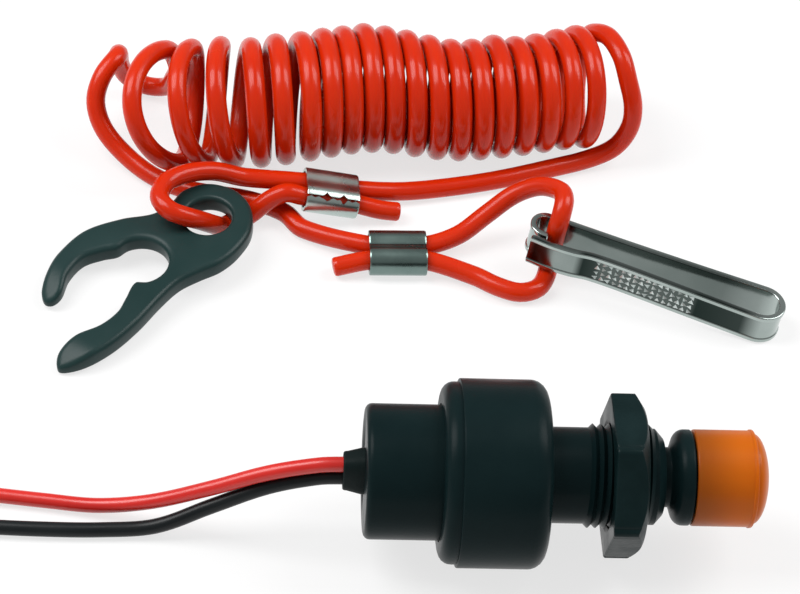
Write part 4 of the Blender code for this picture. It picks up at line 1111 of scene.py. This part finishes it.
def clip_height(place, height):
    """A height on the plate, which thins towards the tips of its arms."""
    tip = LONG_ARM_TIP if place.y < 0 else SHORT_ARM_TIP
    inside = min(max((place.x - tip) / TIP_TAPER, 0.0), 1.0)
    return height * (TIP_SHARE + (1.0 - TIP_SHARE) * math.sin(inside * math.pi / 2))


clip_room = edge_room(clip_line, CLIP_EDGE_WIDTH)
print("soft edge:", round(min(clip_room), 2), "to", round(max(clip_room), 2), "mm wide")

# %% [markdown]
# The plate is built in levels from its underside up, each one a ring of the outline and a ring of
# the eye. What is left open above and below is a face with a hole, and bmesh fills it.

# %% Fork clip
EYE_MIDDLE, EYE_RADIUS, EYE_STEPS, EYE_EDGE_SHARE = Vector((19.0, 0.4)), 5.2, 72, 0.7
EDGE_ANGLES = [step * 15 for step in range(7)]


def on_clip(x, y, height):
    return row(clip_frame @ Vector((x, y, height)))


shape = bmesh.new()
outer_rings, eye_rings = [], []
levels = [(angle, False) for angle in reversed(EDGE_ANGLES)] + [(angle, True) for angle in EDGE_ANGLES]
for angle, upper in levels:
    share = 1 - math.cos(math.radians(angle))
    lift = CLIP_EDGE_HEIGHT * (1 - math.sin(math.radians(angle)))
    height = CLIP_THICKNESS - lift if upper else lift
    outer_rings.append([
        shape.verts.new(on_clip(p.x, p.y, clip_height(p, height)))
        for p in drawn_in(clip_line, clip_room, share)
    ])
    reach = EYE_RADIUS + CLIP_EDGE_WIDTH * EYE_EDGE_SHARE * share
    eye_rings.append([
        shape.verts.new(on_clip(EYE_MIDDLE.x + reach * x, EYE_MIDDLE.y + reach * y, height))
        for x, y in arc((0.0, 0.0), 1.0, 0.0, 360.0, EYE_STEPS)[:-1]
    ])
for rings in (outer_rings, eye_rings):
    joined(shape, rings)
for level in (0, -1):
    rim = []
    for ring in (outer_rings[level], eye_rings[level]):
        rim += [shape.edges.get((ring[i - 1], ring[i])) for i in range(len(ring))]
    bmesh.ops.triangle_fill(shape, edges=rim, use_beauty=True)
kill_switch_clip = dressed(new_piece("fork_clip", shape, smooth_angle=50.0), clip_plastic)
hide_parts("kill_clip")
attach(kill_switch_clip, BASE)
print("fork clip:", len(kill_switch_clip.data.polygons), "faces")

# %% [markdown]
# The snap hook is one strip of chromed steel on edge, folded to a long loop. Its section is swept
# along the fold: a flat inner side, rounded edges, and a shallow panel pressed into the outer
# side. Painted dark reflections and painted shade make the steel darker in places, which two lists
# say by the distance along the hook: one for the bottom of the panel and one for the inner side.

# %% Fold and painted shade of the snap hook
STRIP_HALF, STRIP_WIDTH, PANEL_OUT, PANEL_FLOOR = 0.7, 7.6, 0.45, (0.4, 0.6)
HOOK_STRIP = rounded([
    (-STRIP_HALF, 0.0, 0.3), (STRIP_HALF, 0.0, 0.3), (STRIP_HALF, 1.0, 0.12), (PANEL_OUT, 1.25, 0.12),
    (PANEL_OUT, 6.35, 0.12), (STRIP_HALF, 6.6, 0.12), (STRIP_HALF, STRIP_WIDTH, 0.3),
    (-STRIP_HALF, STRIP_WIDTH, 0.3),
], 4)
HOOK_PATH = [
    (1.2, -4.3), (6.0, -4.6), (11.0, -4.3), (15.0, -3.6), (22.04, -3.5), (38.28, -4.0),
    *arc((52.9, 0.0), 4.4, -90, 90, 14), (38.28, 4.0), (22.04, 3.7), (10.0, 3.6),
    *arc((3.0, 0.7), 2.9, 90, 270, 12), (4.0, -2.2),
]
HOOK_STEPS, HOOK_SPACING, FRONT_LEG = 12, 0.6, -2.4
# Painted dark reflections in the front leg's panel, then painted shade on the inner side.
OUTER_SHADES = [(0.0, 0.0), (2.0, 1.0), (5.0, 0.9), (6.8, 0.35), (11.5, 0.35), (13.0, 1.0), (16.0, 0.95),
                (17.5, 0.8), (38.0, 0.8), (39.5, 1.0), (50.0, 0.95), (54.0, 0.1), (58.0, 0.0)]
INNER_SHADES = [(0.0, 0.3), (6.0, 0.6), (20.0, 0.55), (44.0, 0.7), (52.0, 0.45), (56.0, 0.0)]


def listed(pairs, at):
    """The value between two listed pairs."""
    for (a, low), (b, high) in zip(pairs, pairs[1:]):
        if at <= b:
            return low + (high - low) * max(at - a, 0.0) / (b - a)
    return pairs[-1][1]


def hook_shade(place, out):
    """How dark a point of the hook looks, from the painted dark reflections in its panel and the painted
    shade on its inner side.
    """
    if PANEL_FLOOR[0] < out < PANEL_FLOOR[1] and place.y < FRONT_LEG:
        return listed(OUTER_SHADES, place.x)
    return listed(INNER_SHADES, place.x) if out < 0 else 0.0


hook_line = evenly(flowing([(*p, 0.0) for p in HOOK_PATH], HOOK_STEPS), HOOK_SPACING)
print("hook strip:", round(line_length(hook_line)), "mm long")

# %% [markdown]
# The sweep is a ring of corners at each point of the fold. One more ring at each end is a little
# smaller and stands a little further out, which rounds the cut ends of the strip. The painted
# shades go into the attribute that the chrome's nodes read.

# %% Snap hook
END_BULGE, END_THIN, END_NARROW = 0.22, 0.65, 0.94
STRIP_MIDDLE = STRIP_WIDTH / 2
shape = bmesh.new()
shades, rings = [], []
count = len(hook_line)
for index in range(-1, count + 1):
    at = min(max(index, 0), count - 1)
    along = (hook_line[min(at + 1, count - 1)] - hook_line[max(at - 1, 0)]).normalized()
    out_of_loop = Vector((along.y, -along.x, 0.0))
    past_end = (index == count) - (index == -1)
    middle = hook_line[at] + along * END_BULGE * past_end
    ring = []
    for out, height in HOOK_STRIP:
        shades.append(hook_shade(middle, out))
        if past_end:
            out, height = out * END_THIN, STRIP_MIDDLE + (height - STRIP_MIDDLE) * END_NARROW
        ring.append(shape.verts.new(row(hook_frame @ (middle + out_of_loop * out + Vector((0, 0, height))))))
    rings.append(ring)
joined(shape, rings)
shape.faces.new(rings[0])
shape.faces.new(rings[-1])
folded_hook = dressed(new_piece("folded_hook", shape), chrome)
folded_hook.data.attributes.new("painted_reflection_shade", "FLOAT", "POINT").data.foreach_set("value", shades)
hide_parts("snap_hook")
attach(folded_hook, BASE)
print("hook:", len(folded_hook.data.polygons), "faces")

# %% [markdown]
# A grip of small raised three-sided cells is rolled into the middle of the front leg. They repeat
# on a grid, so Geometry Nodes place them: each grid point gets one low pyramid of a few faces,
# turned and sized a little differently by a random value with a fixed seed.

# %% Grip on the hook
GRIP_START, GRIP_LENGTH, GRIP_WIDTH, GRIP_SEED = 16.6, 21.6, 4.4, 4
CELL_RADIUS, CELL_TOP, CELL_HEIGHT, CELL_FOOT = 0.86, 0.12, 0.36, 0.4
CELL_SIZES = (0.8, 1.1)
CELL_TURNS = ((0.0, 0.0, 0.6), (0.0, 0.0, 2.2))
grip_tree, given, made = new_tree("rolled_grip", [
    ("Length", "Float"), ("Width", "Float"), ("Columns", "Int"), ("Rows", "Int"), ("Cell", "Float"),
    ("Height", "Float"), ("Seed", "Int"), ("Material", "Material"),
])
grid = add_node(grip_tree, "GeometryNodeMeshGrid", [
    ("Size X", given.outputs["Length"]), ("Size Y", given.outputs["Width"]),
    ("Vertices X", given.outputs["Columns"]), ("Vertices Y", given.outputs["Rows"]),
])
pyramid = add_node(grip_tree, "GeometryNodeMeshCone",
                   [("Radius Bottom", given.outputs["Cell"]), ("Depth", given.outputs["Height"])],
                   [("Vertices", 3), ("Radius Top", CELL_TOP)])
shrink = grip_tree.nodes.new("FunctionNodeRandomValue")
shrink.data_type = "FLOAT"
shrink.inputs[2].default_value, shrink.inputs[3].default_value = CELL_SIZES
grip_tree.links.new(given.outputs["Seed"], shrink.inputs["Seed"])
spin = grip_tree.nodes.new("FunctionNodeRandomValue")
spin.data_type = "FLOAT_VECTOR"
spin.inputs[0].default_value, spin.inputs[1].default_value = CELL_TURNS
grip_tree.links.new(given.outputs["Seed"], spin.inputs["Seed"])
copies = add_node(grip_tree, "GeometryNodeInstanceOnPoints", [
    ("Points", grid.outputs["Mesh"]), ("Instance", pyramid.outputs["Mesh"]), ("Scale", shrink.outputs[1]),
    ("Rotation", spin.outputs[0]),
])
ended(grip_tree, copies.outputs["Instances"], given, made)


def on_front_leg(p):
    """A point of the flat grip laid on the pressed panel of the hook's front leg."""
    x = GRIP_START + GRIP_LENGTH / 2 + p.x
    nearest = min((q for q in hook_line if q.y < FRONT_LEG), key=lambda q: abs(q.x - x))
    return row(hook_frame @ Vector((x, nearest.y - CELL_FOOT - p.z, STRIP_MIDDLE + p.y)))


hook_grip = grown(
    "hook_grip", grip_tree,
    {"Length": GRIP_LENGTH, "Width": GRIP_WIDTH, "Columns": 16, "Rows": 4, "Cell": CELL_RADIUS,
     "Height": CELL_HEIGHT, "Seed": GRIP_SEED, "Material": painted_highlight_grip},
    on_front_leg, painted_highlight_grip,
)
print("grip:", len(hook_grip.data.polygons), "faces")

# %% [markdown]
# The return spring is hidden in the collar, but it is seen in a cut-away. Its wire follows a
# spiral, so it comes from a tree like the thread's, with a round wire. It is the one piece that
# changes its length: the plunger presses it together as it moves out, so it gets a mesh of its own.

# %% Return spring
SPRING_TURNS, SPRING_RADIUS, SPRING_WIRE = 6.0, 4.3, 0.45
spring_low, spring_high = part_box("return_spring")
spring_length = (spring_high[0] - spring_low[0]) / MM - 2 * SPRING_WIRE
spring_start = spring_low[0] / MM + SET_MIDDLE.x + SPRING_WIRE
spring_tree, given, made = new_tree("wound_spring", [
    ("Turns", "Float"), ("Length", "Float"), ("Coil Radius", "Float"), ("Wire Radius", "Float"),
    ("Material", "Material"),
])
spiral = add_node(spring_tree, "GeometryNodeCurveSpiral", [
    ("Rotations", given.outputs["Turns"]), ("Height", given.outputs["Length"]),
    ("Start Radius", given.outputs["Coil Radius"]), ("End Radius", given.outputs["Coil Radius"]),
], [("Resolution", 40)])
wire_round = add_node(spring_tree, "GeometryNodeCurvePrimitiveCircle",
                      [("Radius", given.outputs["Wire Radius"])], [("Resolution", 10)])
wound = add_node(spring_tree, "GeometryNodeCurveToMesh", [
    ("Curve", spiral.outputs["Curve"]), ("Profile Curve", wire_round.outputs["Curve"]),
], [("Fill Caps", True)])
ended(spring_tree, wound.outputs["Mesh"], given, made)
wound_spring = grown(
    "wound_spring", spring_tree,
    {"Turns": SPRING_TURNS, "Length": spring_length, "Coil Radius": SPRING_RADIUS, "Wire Radius": SPRING_WIRE,
     "Material": spring_steel},
    lambda p: about_axis(spring_start + p.z, p.x, p.y), spring_steel,
)
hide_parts("return_spring")
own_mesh(wound_spring)
print("spring:", round(spring_length, 1), "mm long,", len(wound_spring.data.polygons), "faces")

# %% [markdown]
# The solids that stay are dressed too: the crimped terminals on the wires, and the works inside
# the switch. Their shapes are right already, so only their material slots are filled.

# %% Finishes on the solids that stay
KEPT = {
    "housing_seal": boot_rubber, "stem_seal": boot_rubber, "plunger_stem": brass,
    "contact_carrier": black_plastic, "contact_ring": brass, "terminal_board": pressed_board,
    "red_contact": brass, "black_contact": brass, "red_bullet": brass, "black_bullet": brass,
}
for label, material in KEPT.items():
    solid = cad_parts[label]
    for slot in solid.material_slots:
        slot.material = material
    if not solid.material_slots:
        print("no slot on", label)
print("solids dressed:", len(KEPT))

# %% [markdown]
# The floor is pale and takes the soft light. In mirror-like surfaces it shows as plain white, by
# the Light Path node, so no lamp has to be turned up to whiten it. To the camera it is mixed
# with that white only in part, which keeps the object's soft shadow on it.

# %% Floor
CAMERA_WHITE = 0.72
floor_mesh = bpy.data.meshes.new("floor")
floor_mesh.from_pydata([(-3, -3, 0), (3, -3, 0), (3, 3, 0), (-3, 3, 0)], [], [(0, 1, 2, 3)])
floor = bpy.data.objects.new("floor", floor_mesh)
bpy.context.collection.objects.link(floor)
floor_paint = bpy.data.materials.new("pale_floor")
floor_paint.use_nodes = True
tree = floor_paint.node_tree
shader = tree.nodes["Principled BSDF"]
shader.inputs["Base Color"].default_value = (0.9, 0.9, 0.9, 1.0)
shader.inputs["Roughness"].default_value = 0.9
floor_mesh.materials.append(floor_paint)
seen_by = tree.nodes.new("ShaderNodeLightPath").outputs
by_camera = maths(tree, "MULTIPLY", seen_by["Is Camera Ray"], CAMERA_WHITE)
in_mirrors = maths(tree, "MAXIMUM", seen_by["Is Glossy Ray"], seen_by["Is Transmission Ray"])
white = tree.nodes.new("ShaderNodeEmission")
white.inputs["Color"].default_value = (1.0, 1.0, 1.0, 1.0)
white.inputs["Strength"].default_value = 1.0
mixed = tree.nodes.new("ShaderNodeMixShader")
tree.links.new(maths(tree, "MAXIMUM", by_camera, in_mirrors), mixed.inputs["Fac"])
tree.links.new(shader.outputs["BSDF"], mixed.inputs[1])
tree.links.new(white.outputs["Emission"], mixed.inputs[2])
tree.links.new(mixed.outputs["Shader"], tree.nodes["Material Output"].inputs["Surface"])
print("floor:", [round(side / MM) for side in floor.dimensions[:2]], "mm, white to the camera:", CAMERA_WHITE)

# %% [markdown]
# Soft light comes from two large lamps, a stronger one at the upper left and a weaker one at the
# upper right, and from a plain white world that is turned low. Their level is plain, so that a
# colour renders about as it is written in its material.

# %% Light
WORLD_STRENGTH = 0.35
world = bpy.data.worlds.new("studio")
bpy.context.scene.world = world
world.use_nodes = True
world.node_tree.nodes["Background"].inputs["Color"].default_value = (1.0, 1.0, 1.0, 1.0)
world.node_tree.nodes["Background"].inputs["Strength"].default_value = WORLD_STRENGTH
bpy.context.scene.view_settings.view_transform = "Standard"


def softbox(name, place, aim, width, height, power):
    """A rectangular lamp in layout millimetres that faces a point."""
    data = bpy.data.lights.new(name, "AREA")
    data.shape = "RECTANGLE"
    data.size = width * MM
    data.size_y = height * MM
    data.energy = power
    lamp = bpy.data.objects.new(name, data)
    bpy.context.collection.objects.link(lamp)
    lamp.location = row(place)
    lamp.rotation_euler = (row(aim) - row(place)).to_track_quat("-Z", "Y").to_euler()
    print(name, power, "W")


softbox("upper_left_softbox", (-350, 100, 500), (0, 50, 0), 300, 500, 3.4)
softbox("upper_right_softbox", (420, 150, 450), (20, 50, 0), 250, 450, 2.2)
